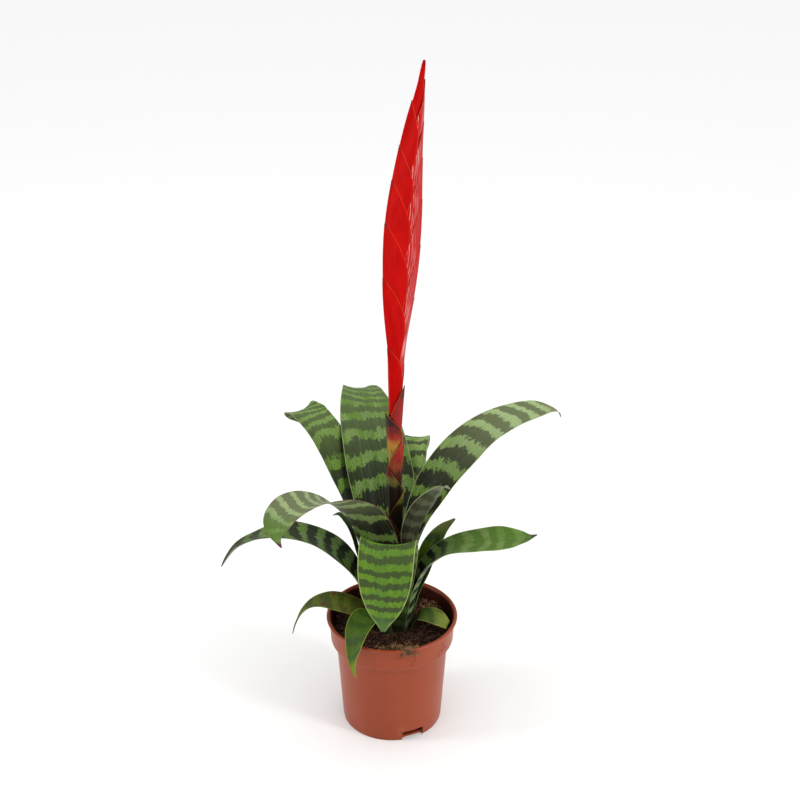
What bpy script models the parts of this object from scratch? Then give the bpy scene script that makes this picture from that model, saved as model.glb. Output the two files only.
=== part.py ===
# Flaming sword bromeliad in its round plastic nursery pot.
#
# Units: the design numbers are millimetres and degrees, the model is metres.
# Origin: the centre of the pot's underside.  +Z is up, -Y is the front.
# Pieces: one pot, one body of potting soil, one flower stem, the separate
# leaves of the rosette, the scape bracts that sheathe the stem, and the
# overlapping floral bracts and tip bud that make the flattened red spike.

import bpy
import bmesh
import numpy as np
from math import sin, cos, pi, radians
from mathutils import Matrix, Vector

# ------------------------------------------------------------------ sizes
MM = 0.001                   # one millimetre in metres
GAP = 0.3                    # clearance between touching pieces

POT_HEIGHT = 109.5
POT_RIM_R = 60.0             # a 12 cm pot
POT_COLLAR_R = 57.0
POT_WALL_TOP_R = 51.4
POT_BASE_R = 45.9
POT_WALL = 1.4               # wall thickness
POT_FLOOR = 1.8              # floor thickness
POT_SEGMENTS = 40
NOTCH_WIDTH = 21.0           # drain notches in the foot
NOTCH_HEIGHT = 9.5
NOTCH_AZIMUTHS = (-65.0, 55.0, 175.0)

SOIL_TOP = 97.0
SOIL_HOLE_R = 19.8           # room for the leaf sheaths
SOIL_HOLE_Z = 86.0
SOIL_STEM_R = 5.8            # room for the stem's foot
SOIL_STEM_Z = 70.0
SOIL_SEGMENTS = 32

AXIS_X = 3.0                 # the plant stands a little right of the pot's axis
STEM_FOOT_R = 5.2
STEM_R = 3.4

LEAF_THICKNESS = 0.6
BRACT_THICKNESS = 0.45

SPIKE_YAW = 50.0             # turn of the flat spike about the vertical
FLORAL_THICKNESS = 0.3
CORE_T = 3.4                 # half thickness of the spike where a bract starts

# ------------------------------------------------------------------ leaves
# name: azimuth, rows, columns, stations along the midrib.
# One station is (distance from the plant's axis, sideways shift, height,
# width along the curved section, roll, half angle of the channel section).
LEAVES = {
    # long arching leaf to the right
    "leaf_01": (30, 15, 6, (
        (8.5, 0, 88, 22, 0, 74), (8.6, 0, 102, 22, 0, 74), (10.4, 0, 125, 28, 0, 72),
        (23.5, 4.3, 178, 35.5, -5, 56), (49, 8, 223, 48, 3, 38), (77, 7, 254, 48, 5, 28),
        (103, 5, 271, 44, 1, 20), (124, 2, 279, 37, 3, 16), (141, 0, 281, 29, 9, 15),
        (154, -2, 281.5, 20, 12, 15), (164, -3, 279, 11, 9, 18), (171, -4, 275, 5, 6, 20),
        (174, -4, 269, 2, 6, 20))),
    # tall leaf behind, left
    "leaf_02": (140, 14, 6, (
        (13.7, 0, 88, 28, 0, 60), (13.8, 0, 102, 28, 0, 60), (19, -1, 122, 33, 0, 54),
        (44, -7, 166, 37, 16, 38), (66, -10.5, 213, 43, 12, 27), (83, -8.5, 249, 45, 9, 20),
        (98, -6.5, 269, 45, 9, 17), (111, -6.5, 277, 43, 8, 16), (121, -10, 275, 34, 4, 16),
        (128, -18, 266, 21, 0, 18), (130, -25, 257, 11, 0, 20), (129, -30, 249, 3, 0, 20))),
    # broad tall leaf behind the stem
    "leaf_03": (108, 16, 6, (
        (11.1, 0, 88, 26, 0, 68), (11.2, 0, 102, 26, 0, 68), (14.0, 0, 122, 31, 0, 62),
        (21.5, -1, 142, 38, -3, 54), (33, -2, 165, 53, -6, 50), (58, -5, 206, 65, -1, 40),
        (82, -5, 237, 66, 5, 30), (103, -6, 258, 60, 9, 25), (120, -8, 269, 50, 10, 23),
        (136, -10, 273.5, 38, 9, 22), (152, -11, 268, 27, 6, 22), (164, -10, 258, 18, 3, 22),
        (171, -9, 245, 9, 0, 22), (174, -8, 235, 3, 0, 22))),
    # upright leaf behind, right
    "leaf_04": (75, 15, 6, (
        (12.4, 0, 88, 27, 0, 62), (12.5, 0, 102, 27, 0, 62), (16, 0, 122, 30, 0, 54),
        (25.5, 2, 143, 25, 0, 44), (43, 2, 163, 32, -3, 36), (60, 5, 198, 36, -5, 30),
        (73, 7, 220, 37, -7, 24), (86, 9, 233, 36, -7, 21), (98, 9, 238, 33, -5, 20),
        (109, 9, 236, 28, -3, 19), (118, 8, 225, 20, 0, 19), (123, 8, 211, 10, 0, 20),
        (124, 7, 202, 3, 0, 20))),
    # leaf that rolls over to the front left
    "leaf_05": (210, 16, 6, (
        (9.8, 0, 88, 25, 0, 74), (9.9, 0, 102, 25, 0, 74), (12.2, 0, 122, 34, 0, 72),
        (18, 1, 158, 46, 20, 60), (24, -2.5, 195, 49, 32, 48), (40, -4, 223, 52, 29, 36),
        (63, -6, 240, 49, 19, 26), (86, -8, 245, 44, 5, 20), (103, -8, 241, 37, -7, 16),
        (112, -7, 232, 28, -17, 15), (114, -4, 223, 16, -18, 15), (111, -1, 213, 3, -18, 15))),
    # low arching leaf to the left
    "leaf_06": (186, 14, 6, (
        (16.3, 0, 88, 20, 0, 35), (16.6, 0, 102, 20, 0, 35), (21.5, -1, 114, 23, 0, 34),
        (26, -2, 124, 27, -2, 34), (34, -3, 147, 35, -6, 32), (51, -4, 173, 41, -5, 26), (76, -5, 192, 40, 2, 18),
        (102, -5, 199, 36, 7, 15), (124, -3, 196, 29, 14, 15), (142, 0, 188, 19, 12, 20),
        (151, 3, 178, 9, 4, 30), (155, 4, 172, 2, -4, 36))),
    # leaf that folds down in front
    "leaf_07": (263, 15, 6, (
        (16.3, 0, 88, 22, 0, 39), (16.6, 0, 102, 22.5, 0, 39), (20.5, 0, 122, 30, 0, 41),
        (25, 0, 145, 37, 0, 38), (30.5, 0, 178, 47, 0, 33), (38.5, 0, 202, 51, 0, 28),
        (48, 0, 211, 50, 0, 25), (58, 0, 205, 49, 0, 22), (66, 0, 189, 47, 0, 18),
        (72, 0, 173, 39, 0, 15), (77, 0, 158, 23, 0, 14), (79.5, 0, 151, 11, 0, 14),
        (81, 0, 145, 3, 0, 14))),
    # low arching leaf to the right
    "leaf_08": (-8, 14, 6, (
        (15.0, 0, 88, 24, 0, 45), (15.1, 0, 102, 24, 0, 45), (17, 0, 118, 30, 0, 44),
        (22, 1, 143, 36, 5, 38), (33, 2, 166, 40, -2, 28), (52, 3, 182, 42, -5, 20),
        (76, 3, 190, 40, 1, 15), (96, 3, 194, 35, 6, 12), (110, 3, 196, 25, 2, 10),
        (119, 2, 198, 14, -5, 10), (126, 2, 202, 3, -10, 14))),
    # short plain green leaf, right
    "leaf_09": (35, 10, 4, (
        (16.3, 0, 88, 17, 0, 30), (16.4, 0, 102, 17, 0, 30), (23, 1, 125, 20, 1, 36),
        (35, 2, 147, 23, 5, 36), (45, 3, 166, 21, 5, 30), (56, 3, 178, 14, 1, 25),
        (68, 1, 186, 3, -3, 20))),
    # young narrow leaf close to the stem
    "leaf_10": (-45, 12, 6, (
        (7.2, 0, 88, 17, 0, 68), (7.3, 0, 102, 17, 0, 68), (8.4, 0, 128, 20, 0, 68),
        (10.2, 1, 152, 21, 0, 64), (15.6, 3.1, 178, 16.0, 0, 58), (21, 3, 202, 25.5, -7, 50),
        (28, 3, 222, 27, -15, 42), (37, 3, 240, 23, -18, 35), (46, 3, 253, 16, -19, 30),
        (56, 2, 263, 8, -19, 25), (66, -1, 266, 2, -17, 25))),
    # short bottom leaf, left
    "leaf_11": (190, 12, 4, (
        (18.9, 0, 88, 15, 0, 23), (19.0, 0, 102, 15, 0, 23), (27, 0, 112, 22, -8, 23),
        (42, 0, 122, 26, -13, 18), (59, -1, 128, 26, -7, 15), (73, -1, 128, 20, 7, 20),
        (85, 1, 121, 12, 15, 38), (92, 3, 110, 5, 18, 45), (95, 4, 101, 2, 18, 45))),
    # bottom leaf that hangs over the rim in front
    "leaf_12": (240, 13, 4, (
        (18.9, 0, 88, 15, 0, 23), (19.0, 0, 102, 15, 0, 23), (28, -5, 121, 23, -5, 23),
        (42, -7, 126, 25, -7, 18), (56, -6, 122, 22, -4, 15), (67, -3, 112, 16, 1, 15),
        (74, 0, 102, 9, 6, 25), (77, 3, 94, 4, 9, 40), (77, 5, 89, 2, 9, 45))),
    # short yellowing leaf that lies on the soil, right
    "leaf_13": (-18, 9, 4, (
        (18.9, 0, 88, 14, 0, 21), (19.0, 0, 102, 14, 0, 21), (23.5, 0, 111.5, 18, 4, 20),
        (32, 0, 113.5, 21, 6, 16), (42, 1, 110.5, 21, 2, 14), (49.5, 1, 105.5, 14, -4, 14))),
    # narrow leaf, only its tip shows from the front
    "leaf_14": (168, 11, 4, (
        (15.0, 0, 88, 11, 0, 21), (15.1, 0, 102, 11, 0, 21), (18.4, 0, 114, 11, 0, 21),
        (21.4, 0.5, 124, 10, 0, 20), (26, 1.5, 142, 9, 0, 20), (30.5, 1.5, 158, 9, 0, 20),
        (35, 1, 174, 9.5, 0, 20), (40, 0, 190, 10, 0, 20), (46, 0, 202, 8.5, 0, 18),
        (52, 0, 208, 6, 0, 18), (57, 0, 206, 2, 0, 18))),
    # low leaves at the back
    "leaf_15": (106, 12, 4, (
        (16.3, 0, 88, 13, 0, 23), (16.4, 0, 102, 13, 0, 23), (23, 0, 121, 22, 0, 26),
        (40, 0, 143, 31, 0, 24), (58, 0, 155, 34, 0, 20), (77, 0, 157, 32, 0, 17),
        (95, 0, 150, 26, 0, 16), (108, 0, 136, 15, 0, 18), (115, 0, 121, 3, 0, 22))),
    "leaf_16": (72, 11, 4, (
        (17.6, 0, 88, 15, 0, 25), (17.7, 0, 102, 15, 0, 25), (24, 0, 118, 21, 0, 26),
        (38, 0, 131, 27, 0, 22), (55, 0, 138, 28, 0, 18), (71, 0, 135, 25, 0, 16),
        (84, 0, 124, 16, 0, 18), (91, 0, 112, 3, 0, 22))),
    "leaf_17": (128, 10, 4, (
        (18.9, 0, 88, 14, 0, 21), (19.0, 0, 102, 14, 0, 21), (26, -1, 112, 19, 0, 22),
        (38, -4, 119, 22, 0, 18), (50, -8, 120, 20, 0, 16), (60, -12, 115, 12, 0, 20),
        (66, -15, 109, 3, 0, 24))),
}

# ------------------------------------------------------------ scape bracts
# Sheaths round the stem, from the top one down: height of the tip, azimuth.
SCAPE_BRACTS = ((341, -20), (315, 205), (289, -35), (264, 215),
                (240, -15), (219, 200), (198, -50))
SCAPE_BRACT_LENGTH = 62.0
SCAPE_R_IN = 4.5            # middle of the sheet at its base
SCAPE_R_OUT = 8.3            # middle of the sheet at its tip

# ------------------------------------------------------------ flower spike
# Height, sideways offset (x) and backward offset (y) of the spike's axis.
SPIKE_AXIS = ((300, 0.0, 0.0), (340, 0.4, 0.2), (368, 1.5, 0.6), (443, 5.2, 2.2),
              (503, 8.4, 4.2), (551, 13.7, 6.8), (584, 19.0, 9.6), (613, 23.5, 12.0))
# Height and half width of the spike.
SPIKE_WIDTH = ((318, 6.6), (340, 8.0), (360, 10.0), (377, 12.8), (400, 17.5), (420, 21.0),
               (445, 23.6), (470, 24.4), (495, 23.2), (520, 19.8), (545, 15.6),
               (570, 11.0), (585, 7.4), (600, 4.0), (610, 1.2))
# Floral bracts, lowest first: side (-1 left, +1 right), tip height, length.
FLORAL_BRACTS = ((1, 360, 48), (-1, 377, 55), (1, 412, 80), (-1, 441, 96), (1, 458, 98),
                 (-1, 488, 104), (1, 497, 91), (-1, 522, 92), (1, 532, 81), (-1, 548, 74),
                 (1, 562, 70), (-1, 582, 62), (1, 596, 50))
SPIKE_THICK = ((318, 7.0), (345, 7.6), (375, 7.4), (410, 7.0), (450, 6.6), (520, 6.4),
               (556, 5.6), (585, 4.2), (600, 2.6))
TIP_BUD = (557, 611)


# =============================================================== utilities
def clear_scene():
    for ob in list(bpy.data.objects):
        bpy.data.objects.remove(ob, do_unlink=True)
    for block in (bpy.data.meshes, bpy.data.materials, bpy.data.curves):
        for item in list(block):
            block.remove(item)


def material(name, rgb, roughness, metallic=0.0):
    mat = bpy.data.materials.new(name)
    mat.use_nodes = True
    bsdf = mat.node_tree.nodes["Principled BSDF"]
    bsdf.inputs["Base Color"].default_value = (*rgb, 1.0)
    bsdf.inputs["Roughness"].default_value = roughness
    bsdf.inputs["Metallic"].default_value = metallic
    mat.diffuse_color = (*rgb, 1.0)
    return mat


def curve_through(ts, values, t):
    """Smooth curve through the stations: a cubic with averaged slopes."""
    ts = np.asarray(ts, float)
    v = np.asarray(values, float)
    t = np.clip(np.asarray(t, float), ts[0], ts[-1])
    flat = v.ndim == 1
    if flat:
        v = v[:, None]
    step = np.diff(ts)
    slope = np.diff(v, axis=0) / step[:, None]
    m = np.empty_like(v)
    m[0], m[-1] = slope[0], slope[-1]
    w0, w1 = step[1:, None], step[:-1, None]
    m[1:-1] = (slope[:-1] * w0 + slope[1:] * w1) / (w0 + w1)
    k = np.clip(np.searchsorted(ts, t, side="right") - 1, 0, len(ts) - 2)
    h = step[k][:, None]
    s = ((t - ts[k]) / step[k])[:, None]
    out = ((2 * s**3 - 3 * s**2 + 1) * v[k] + (s**3 - 2 * s**2 + s) * h * m[k]
           + (-2 * s**3 + 3 * s**2) * v[k + 1] + (s**3 - s**2) * h * m[k + 1])
    return out[:, 0] if flat else out


def add_object(name, bm, mat, smooth_angle=40.0):
    mesh = bpy.data.meshes.new(name)
    bm.to_mesh(mesh)
    bm.free()
    mesh.shade_smooth()
    mesh.set_sharp_from_angle(angle=radians(smooth_angle))
    mesh.materials.append(mat)
    ob = bpy.data.objects.new(name, mesh)
    bpy.context.scene.collection.objects.link(ob)
    return ob


def grid_mesh(points):
    """Open sheet from an array of rows and columns of points in mm."""
    rows, cols = points.shape[:2]
    bm = bmesh.new()
    vs = [[bm.verts.new(Vector(points[i, j]) * MM) for j in range(cols)]
          for i in range(rows)]
    for i in range(rows - 1):
        for j in range(cols - 1):
            bm.faces.new((vs[i][j], vs[i][j + 1], vs[i + 1][j + 1], vs[i + 1][j]))
    return bm


def thicken(ob, thickness):
    mod = ob.modifiers.new("thickness", "SOLIDIFY")
    mod.thickness = thickness * MM
    mod.offset = 0.0
    mod.use_even_offset = False
    mod.use_rim = True
    return ob


def loft(rings, closed_ends=True):
    """Solid through rings of points (mm), all with the same number of points."""
    bm = bmesh.new()
    vs = [[bm.verts.new(Vector(p) * MM) for p in ring] for ring in rings]
    n = len(rings[0])
    for a, b in zip(vs[:-1], vs[1:]):
        for j in range(n):
            bm.faces.new((a[j], a[(j + 1) % n], b[(j + 1) % n], b[j]))
    if closed_ends:
        bm.faces.new(list(reversed(vs[0])))
        bm.faces.new(vs[-1])
    bmesh.ops.recalc_face_normals(bm, faces=bm.faces)
    return bm


def turned(profile, segments):
    """Closed profile of (radius, height) turned about the pot's axis."""
    bm = bmesh.new()
    vs = [bm.verts.new((r * MM, 0.0, z * MM)) for r, z in profile]
    edges = [bm.edges.new((vs[i], vs[i + 1])) for i in range(len(vs) - 1)]
    if profile[0][0] > 1e-9:
        edges.append(bm.edges.new((vs[-1], vs[0])))
    bmesh.ops.spin(bm, geom=vs + edges, cent=(0, 0, 0), axis=(0, 0, 1),
                   angle=2 * pi, steps=segments, use_merge=True)
    bmesh.ops.remove_doubles(bm, verts=bm.verts, dist=1e-6)
    bmesh.ops.recalc_face_normals(bm, faces=bm.faces)
    return bm


# ================================================================= pieces
def pot_profile():
    """Outside upwards, over the rim, then inside downwards to the axis."""
    w = POT_WALL
    outer = [(0, 0), (POT_BASE_R - 1.0, 0), (POT_BASE_R, 1.0),
             (POT_WALL_TOP_R, 84.0), (POT_COLLAR_R - 1.8, 84.6),
             (POT_COLLAR_R - 0.6, 86.0), (POT_COLLAR_R, 100.0), (POT_COLLAR_R + 0.4, 106.2),
             (POT_RIM_R - 0.5, 107.2), (POT_RIM_R, 107.9), (POT_RIM_R, 108.9),
             (POT_RIM_R - 0.6, POT_HEIGHT), (POT_RIM_R - 2.4, POT_HEIGHT)]
    inner = [(POT_COLLAR_R - w + 0.2, 106.6), (POT_COLLAR_R - w - 0.5, 87.5),
             (POT_WALL_TOP_R - w, 84.6), (POT_BASE_R - w + 0.4, POT_FLOOR + 4.0),
             (POT_BASE_R - w - 3.0, POT_FLOOR), (0, POT_FLOOR)]
    return outer + inner


def make_pot(mat):
    pot = add_object("pot", turned(pot_profile(), POT_SEGMENTS), mat, 35.0)
    for i, azimuth in enumerate(NOTCH_AZIMUTHS):
        bm = bmesh.new()
        bmesh.ops.create_cube(bm, size=1.0)
        reach = 12.0
        bmesh.ops.scale(bm, verts=bm.verts,
                        vec=(reach * MM, NOTCH_WIDTH * MM, 2 * NOTCH_HEIGHT * MM))
        bmesh.ops.translate(bm, verts=bm.verts, vec=((POT_BASE_R + 1.5) * MM, 0, 0))
        bmesh.ops.rotate(bm, verts=bm.verts, cent=(0, 0, 0),
                         matrix=Matrix.Rotation(radians(azimuth), 3, "Z"))
        mesh = bpy.data.meshes.new(f"notch_cutter_{i}")
        bm.to_mesh(mesh)
        bm.free()
        cutter = bpy.data.objects.new(f"notch_cutter_{i}", mesh)
        bpy.context.scene.collection.objects.link(cutter)
        cutter.hide_render = True
        cutter.display_type = "WIRE"
        mod = pot.modifiers.new(f"notch_{i}", "BOOLEAN")
        mod.operation = "DIFFERENCE"
        mod.solver = "EXACT"
        mod.object = cutter
    return pot


def make_soil(mat):
    w = POT_WALL
    side_top = POT_COLLAR_R - w - 0.5 - GAP - 0.3
    profile = [(SOIL_STEM_R, SOIL_STEM_Z), (SOIL_STEM_R, SOIL_HOLE_Z),
               (SOIL_HOLE_R, SOIL_HOLE_Z), (SOIL_HOLE_R, SOIL_TOP - 1.0),
               (SOIL_HOLE_R + 1.5, SOIL_TOP + 0.5), (38, SOIL_TOP + 1.0),
               (side_top - 2.0, SOIL_TOP), (side_top, SOIL_TOP - 1.5),
               (side_top - 0.2, 88.2), (POT_WALL_TOP_R - w - 0.9, 84.4),
               (POT_BASE_R - w - 0.6, POT_FLOOR + 9.0),
               (POT_BASE_R - w - 7.0, POT_FLOOR + GAP), (0, POT_FLOOR + GAP),
               (0, SOIL_STEM_Z)]
    # the profile is open on the axis below the stem's foot
    bm = bmesh.new()
    vs = [bm.verts.new((r * MM, 0.0, z * MM)) for r, z in reversed(profile)]
    edges = [bm.edges.new((vs[i], vs[i + 1])) for i in range(len(vs) - 1) if i != 0]
    edges.append(bm.edges.new((vs[-1], vs[0])))
    bmesh.ops.spin(bm, geom=vs + edges, cent=(0, 0, 0), axis=(0, 0, 1),
                   angle=2 * pi, steps=SOIL_SEGMENTS, use_merge=True)
    bmesh.ops.remove_doubles(bm, verts=bm.verts, dist=1e-6)
    # the holes follow the plant, which stands beside the pot's axis
    for v in bm.verts:
        r = (v.co.x**2 + v.co.y**2) ** 0.5 / MM
        if v.co.z > (SOIL_STEM_Z - 0.1) * MM and r < SOIL_HOLE_R + 2.0:
            v.co.x += AXIS_X * MM
    bmesh.ops.recalc_face_normals(bm, faces=bm.faces)
    return add_object("soil", bm, mat, 30.0)


def axis_at(z):
    """Centre of the stem and the spike at a height, in mm."""
    table = np.array(SPIKE_AXIS, float)
    z = np.atleast_1d(np.asarray(z, float))
    xy = curve_through(table[:, 0], table[:, 1:], z)
    xy[z < table[0, 0]] = table[0, 1:]
    return np.stack([AXIS_X + xy[:, 0], xy[:, 1], z], 1)


def make_stem(mat):
    heights = [(70.4, 3.4), (72.5, 4.9), (86, STEM_FOOT_R), (116, STEM_FOOT_R), (130, STEM_R + 0.2),
               (150, STEM_R), (230, STEM_R), (298, STEM_R - 0.1), (311, 2.4), (320, 1.4),
               (340, 1.2), (400, 1.2), (460, 1.1), (520, 1.0), (552, 0.8)]
    rings = []
    for z, r in heights:
        c = axis_at(z)[0]
        rings.append([(c[0] + r * cos(2 * pi * k / 12), c[1] + r * sin(2 * pi * k / 12), z)
                      for k in range(12)])
    return add_object("flower_stem", loft(rings), mat)


def leaf_points(azimuth, stations, rows, cols):
    """Middle sheet of a leaf, rows from base to tip, columns across it."""
    st = np.array(stations, float)
    chord = np.r_[0, np.cumsum(np.linalg.norm(np.diff(st[:, :3], axis=0), axis=1))]
    t = np.linspace(0, chord[-1], rows + 1)
    er = np.array([cos(radians(azimuth)), sin(radians(azimuth)), 0])
    et = np.array([-sin(radians(azimuth)), cos(radians(azimuth)), 0])

    def centre(u):
        c = curve_through(chord, st[:, :3], u)
        return (np.array([AXIS_X, 0, 0]) + c[:, :1] * er + c[:, 1:2] * et
                + c[:, 2:3] * np.array([0, 0, 1]))

    p = centre(t)
    d = 0.4
    tan = centre(t + d) - centre(t - d)
    tan /= np.linalg.norm(tan, axis=1)[:, None]
    width = np.maximum(curve_through(chord, st[:, 3], t), 1.2)
    roll = np.radians(curve_through(chord, st[:, 4], t))[:, None]
    cup = np.radians(np.clip(curve_through(chord, st[:, 5], t), 4, 80))
    s0 = et - (tan @ et)[:, None] * tan
    s0 /= np.linalg.norm(s0, axis=1)[:, None]
    n0 = np.cross(tan, s0)
    s = s0 * np.cos(roll) + n0 * np.sin(roll)
    n = n0 * np.cos(roll) - s0 * np.sin(roll)
    radius = width / 2 / cup
    out = np.empty((rows + 1, cols + 1, 3))
    for j in range(cols + 1):
        a = cup * (2 * j / cols - 1)
        out[:, j] = (p + s * (radius * np.sin(a))[:, None]
                     + n * (radius * (1 - np.cos(a)))[:, None])
    return out


def make_leaf(name, mat):
    azimuth, rows, cols, stations = LEAVES[name]
    sheet = grid_mesh(leaf_points(azimuth, stations, rows, cols))
    return thicken(add_object(name, sheet, mat, 60.0), LEAF_THICKNESS)


def scape_bract_points(tip_z, azimuth, rows, cols):
    """Sheath wrapped round the stem, narrowing to a point at its tip."""
    out = np.empty((rows + 1, cols + 1, 3))
    for i in range(rows + 1):
        s = 1 - (1 - i / rows) ** 1.6          # rows crowd towards the tip
        z = tip_z - SCAPE_BRACT_LENGTH * (1 - s)
        c = axis_at(z)[0]
        r = SCAPE_R_IN + (SCAPE_R_OUT - SCAPE_R_IN) * s
        half = radians(168) * (1 - s**2.2) + radians(7)
        for j in range(cols + 1):
            a = radians(azimuth) + half * (2 * j / cols - 1)
            out[i, j] = (c[0] + r * cos(a), c[1] + r * sin(a), z)
    return out


def spike_frame():
    yaw = radians(SPIKE_YAW)
    across = np.array([cos(yaw), sin(yaw), 0.0])
    front = np.array([sin(yaw), -cos(yaw), 0.0])
    return across, front


def bract_width(k, s, env):
    """Half width of a bract: it keeps to the outline down to the tip of the
    next lower bract on its side, and then runs in towards the core."""
    side, tip_z, length = FLORAL_BRACTS[k]
    below = FLORAL_BRACTS[k - 2][1] if k >= 2 else tip_z - 0.6 * length
    cover = max(1 - (tip_z - below) / length, 0.2)
    if s >= cover:
        return env - 0.85 * (1 - s) / (1 - cover)
    core = CORE_T + 0.6
    return core + (max(env - 0.85, core) - core) * sin(pi / 2 * (s / cover) ** 0.75)


def floral_bract_points(k, rows, cols):
    """A keeled bract folded round the spike.

    Across the sheet the columns run from the front margin over the keel, on
    the bract's own side, to the back margin.  Nearer its base a bract lies
    deeper in the spike, so that each lower one overlaps the next."""
    side, tip_z, length = FLORAL_BRACTS[k]
    across, front = spike_frame()
    width = np.array(SPIKE_WIDTH, float)
    depth = np.array(SPIKE_THICK, float)
    out = np.empty((rows + 1, cols + 1, 3))
    half_cols = cols // 2
    for i in range(rows + 1):
        s = 0.12 + 0.88 * i / rows
        z = tip_z - length * (1 - s)
        c = axis_at(z)[0]
        env = curve_through(width[:, 0], width[:, 1], [z])[0]
        top = curve_through(depth[:, 0], depth[:, 1], [z])[0]
        w = bract_width(k, s, env)
        core = min(CORE_T, 0.55 * top)
        t = core + (top - core) * s
        power = 1.35 + 0.75 * min(max((400 - z) / 50, 0), 1)
        # where the margin lies: 1 at the keel, 0 on the fold line, below 0 past it
        margin = curve_through([0.0, 0.12, 0.28, 0.53, 0.74, 1.0],
                               [-0.36, -0.3, -0.16, 0.0, 0.34, 0.93], [s])[0]
        for j in range(cols + 1):
            u = j / half_cols - 1                  # -1 front margin, 0 keel, +1 back margin
            x = 1 - (1 - margin) * abs(u) ** 1.15
            y = t * (1 - abs(x) ** power) * (-1 if u > 0 else 1)
            out[i, j] = c + across * side * w * x + front * y
    return out


def make_tip_bud(mat):
    across, front = spike_frame()
    width = np.array(SPIKE_WIDTH, float)
    rings = []
    z0, z1 = TIP_BUD
    for i in range(9):
        s = i / 8
        z = z0 + (z1 - z0) * s
        c = axis_at(z)[0]
        env = curve_through(width[:, 0], width[:, 1], [z])[0]
        w = max(min(env - 1.4 * min(max((603 - z) / 8, 0), 1), 2.0 + 9.0 * s), 0.45)
        t = max(min(1.2 + 0.8 * s, 0.45 * w + 0.3), 0.35)
        rings.append([tuple(c + across * w * cos(a) + front * t * sin(a))
                      for a in (2 * pi * k / 10 for k in range(10))])
    return add_object("spike_tip_bud", loft(rings), mat)


# =================================================================== build
def build():
    clear_scene()
    plastic = material("terracotta_plastic", (0.37, 0.10, 0.05), 0.42)
    earth = material("potting_soil", (0.035, 0.018, 0.010), 0.95)
    stem_red = material("stem_red", (0.30, 0.03, 0.02), 0.5)
    leaf_green = material("leaf_green", (0.06, 0.16, 0.03), 0.42)
    scape = material("scape_bract_red", (0.32, 0.03, 0.02), 0.45)
    red = material("floral_bract_red", (0.62, 0.012, 0.008), 0.35)

    make_pot(plastic)
    make_soil(earth)
    make_stem(stem_red)
    for name in LEAVES:
        make_leaf(name, leaf_green)
    for k, (tip_z, azimuth) in enumerate(SCAPE_BRACTS, 1):
        bm = grid_mesh(scape_bract_points(tip_z, azimuth, 6, 12))
        thicken(add_object(f"scape_bract_{k}", bm, scape, 60.0), BRACT_THICKNESS)
    for k in range(len(FLORAL_BRACTS)):
        bm = grid_mesh(floral_bract_points(k, 9, 8))
        thicken(add_object(f"floral_bract_{k + 1:02d}", bm, red, 30.0), FLORAL_THICKNESS)
    make_tip_bud(red)


build()
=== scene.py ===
import bpy
import bmesh
import numpy as np
from math import sin, cos, pi, radians, sqrt
from mathutils import Matrix, Vector, noise


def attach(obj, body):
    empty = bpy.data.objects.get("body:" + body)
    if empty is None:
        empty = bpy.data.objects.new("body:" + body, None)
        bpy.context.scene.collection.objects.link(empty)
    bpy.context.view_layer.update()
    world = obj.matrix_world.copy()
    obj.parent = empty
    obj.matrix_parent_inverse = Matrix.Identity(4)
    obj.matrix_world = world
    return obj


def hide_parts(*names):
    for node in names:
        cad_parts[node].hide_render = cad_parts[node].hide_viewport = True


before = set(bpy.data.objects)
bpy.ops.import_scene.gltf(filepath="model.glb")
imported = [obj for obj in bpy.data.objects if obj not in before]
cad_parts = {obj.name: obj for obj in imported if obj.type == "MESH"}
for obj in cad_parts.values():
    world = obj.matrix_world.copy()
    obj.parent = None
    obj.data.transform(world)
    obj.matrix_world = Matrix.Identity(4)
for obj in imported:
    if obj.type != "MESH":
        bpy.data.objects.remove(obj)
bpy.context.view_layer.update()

MM = 0.001
SCENE = bpy.context.scene
rng = np.random.default_rng(11)

# ------------------------------------------------------------------ sizes
POT_HEIGHT = 109.5
POT_RIM_R = 60.0
POT_COLLAR_R = 57.0
POT_WALL_TOP_R = 51.4
POT_BASE_R = 45.9
POT_WALL = 1.4
POT_FLOOR = 1.8
NOTCH_WIDTH = 21.0
NOTCH_HEIGHT = 9.5
NOTCH_AZIMUTHS = (-65.0, 55.0, 175.0)
SOIL_TOP = 97.0
AXIS_X = 3.0
STEM_FOOT_R = 5.2
STEM_R = 3.4
SPIKE_YAW = 50.0
FLORAL_THICKNESS = 0.22
CORE_T = 5.7
SCAPE_BRACT_LENGTH = 62.0
SCAPE_R_IN = 4.5
SCAPE_R_OUT = 8.3

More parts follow.
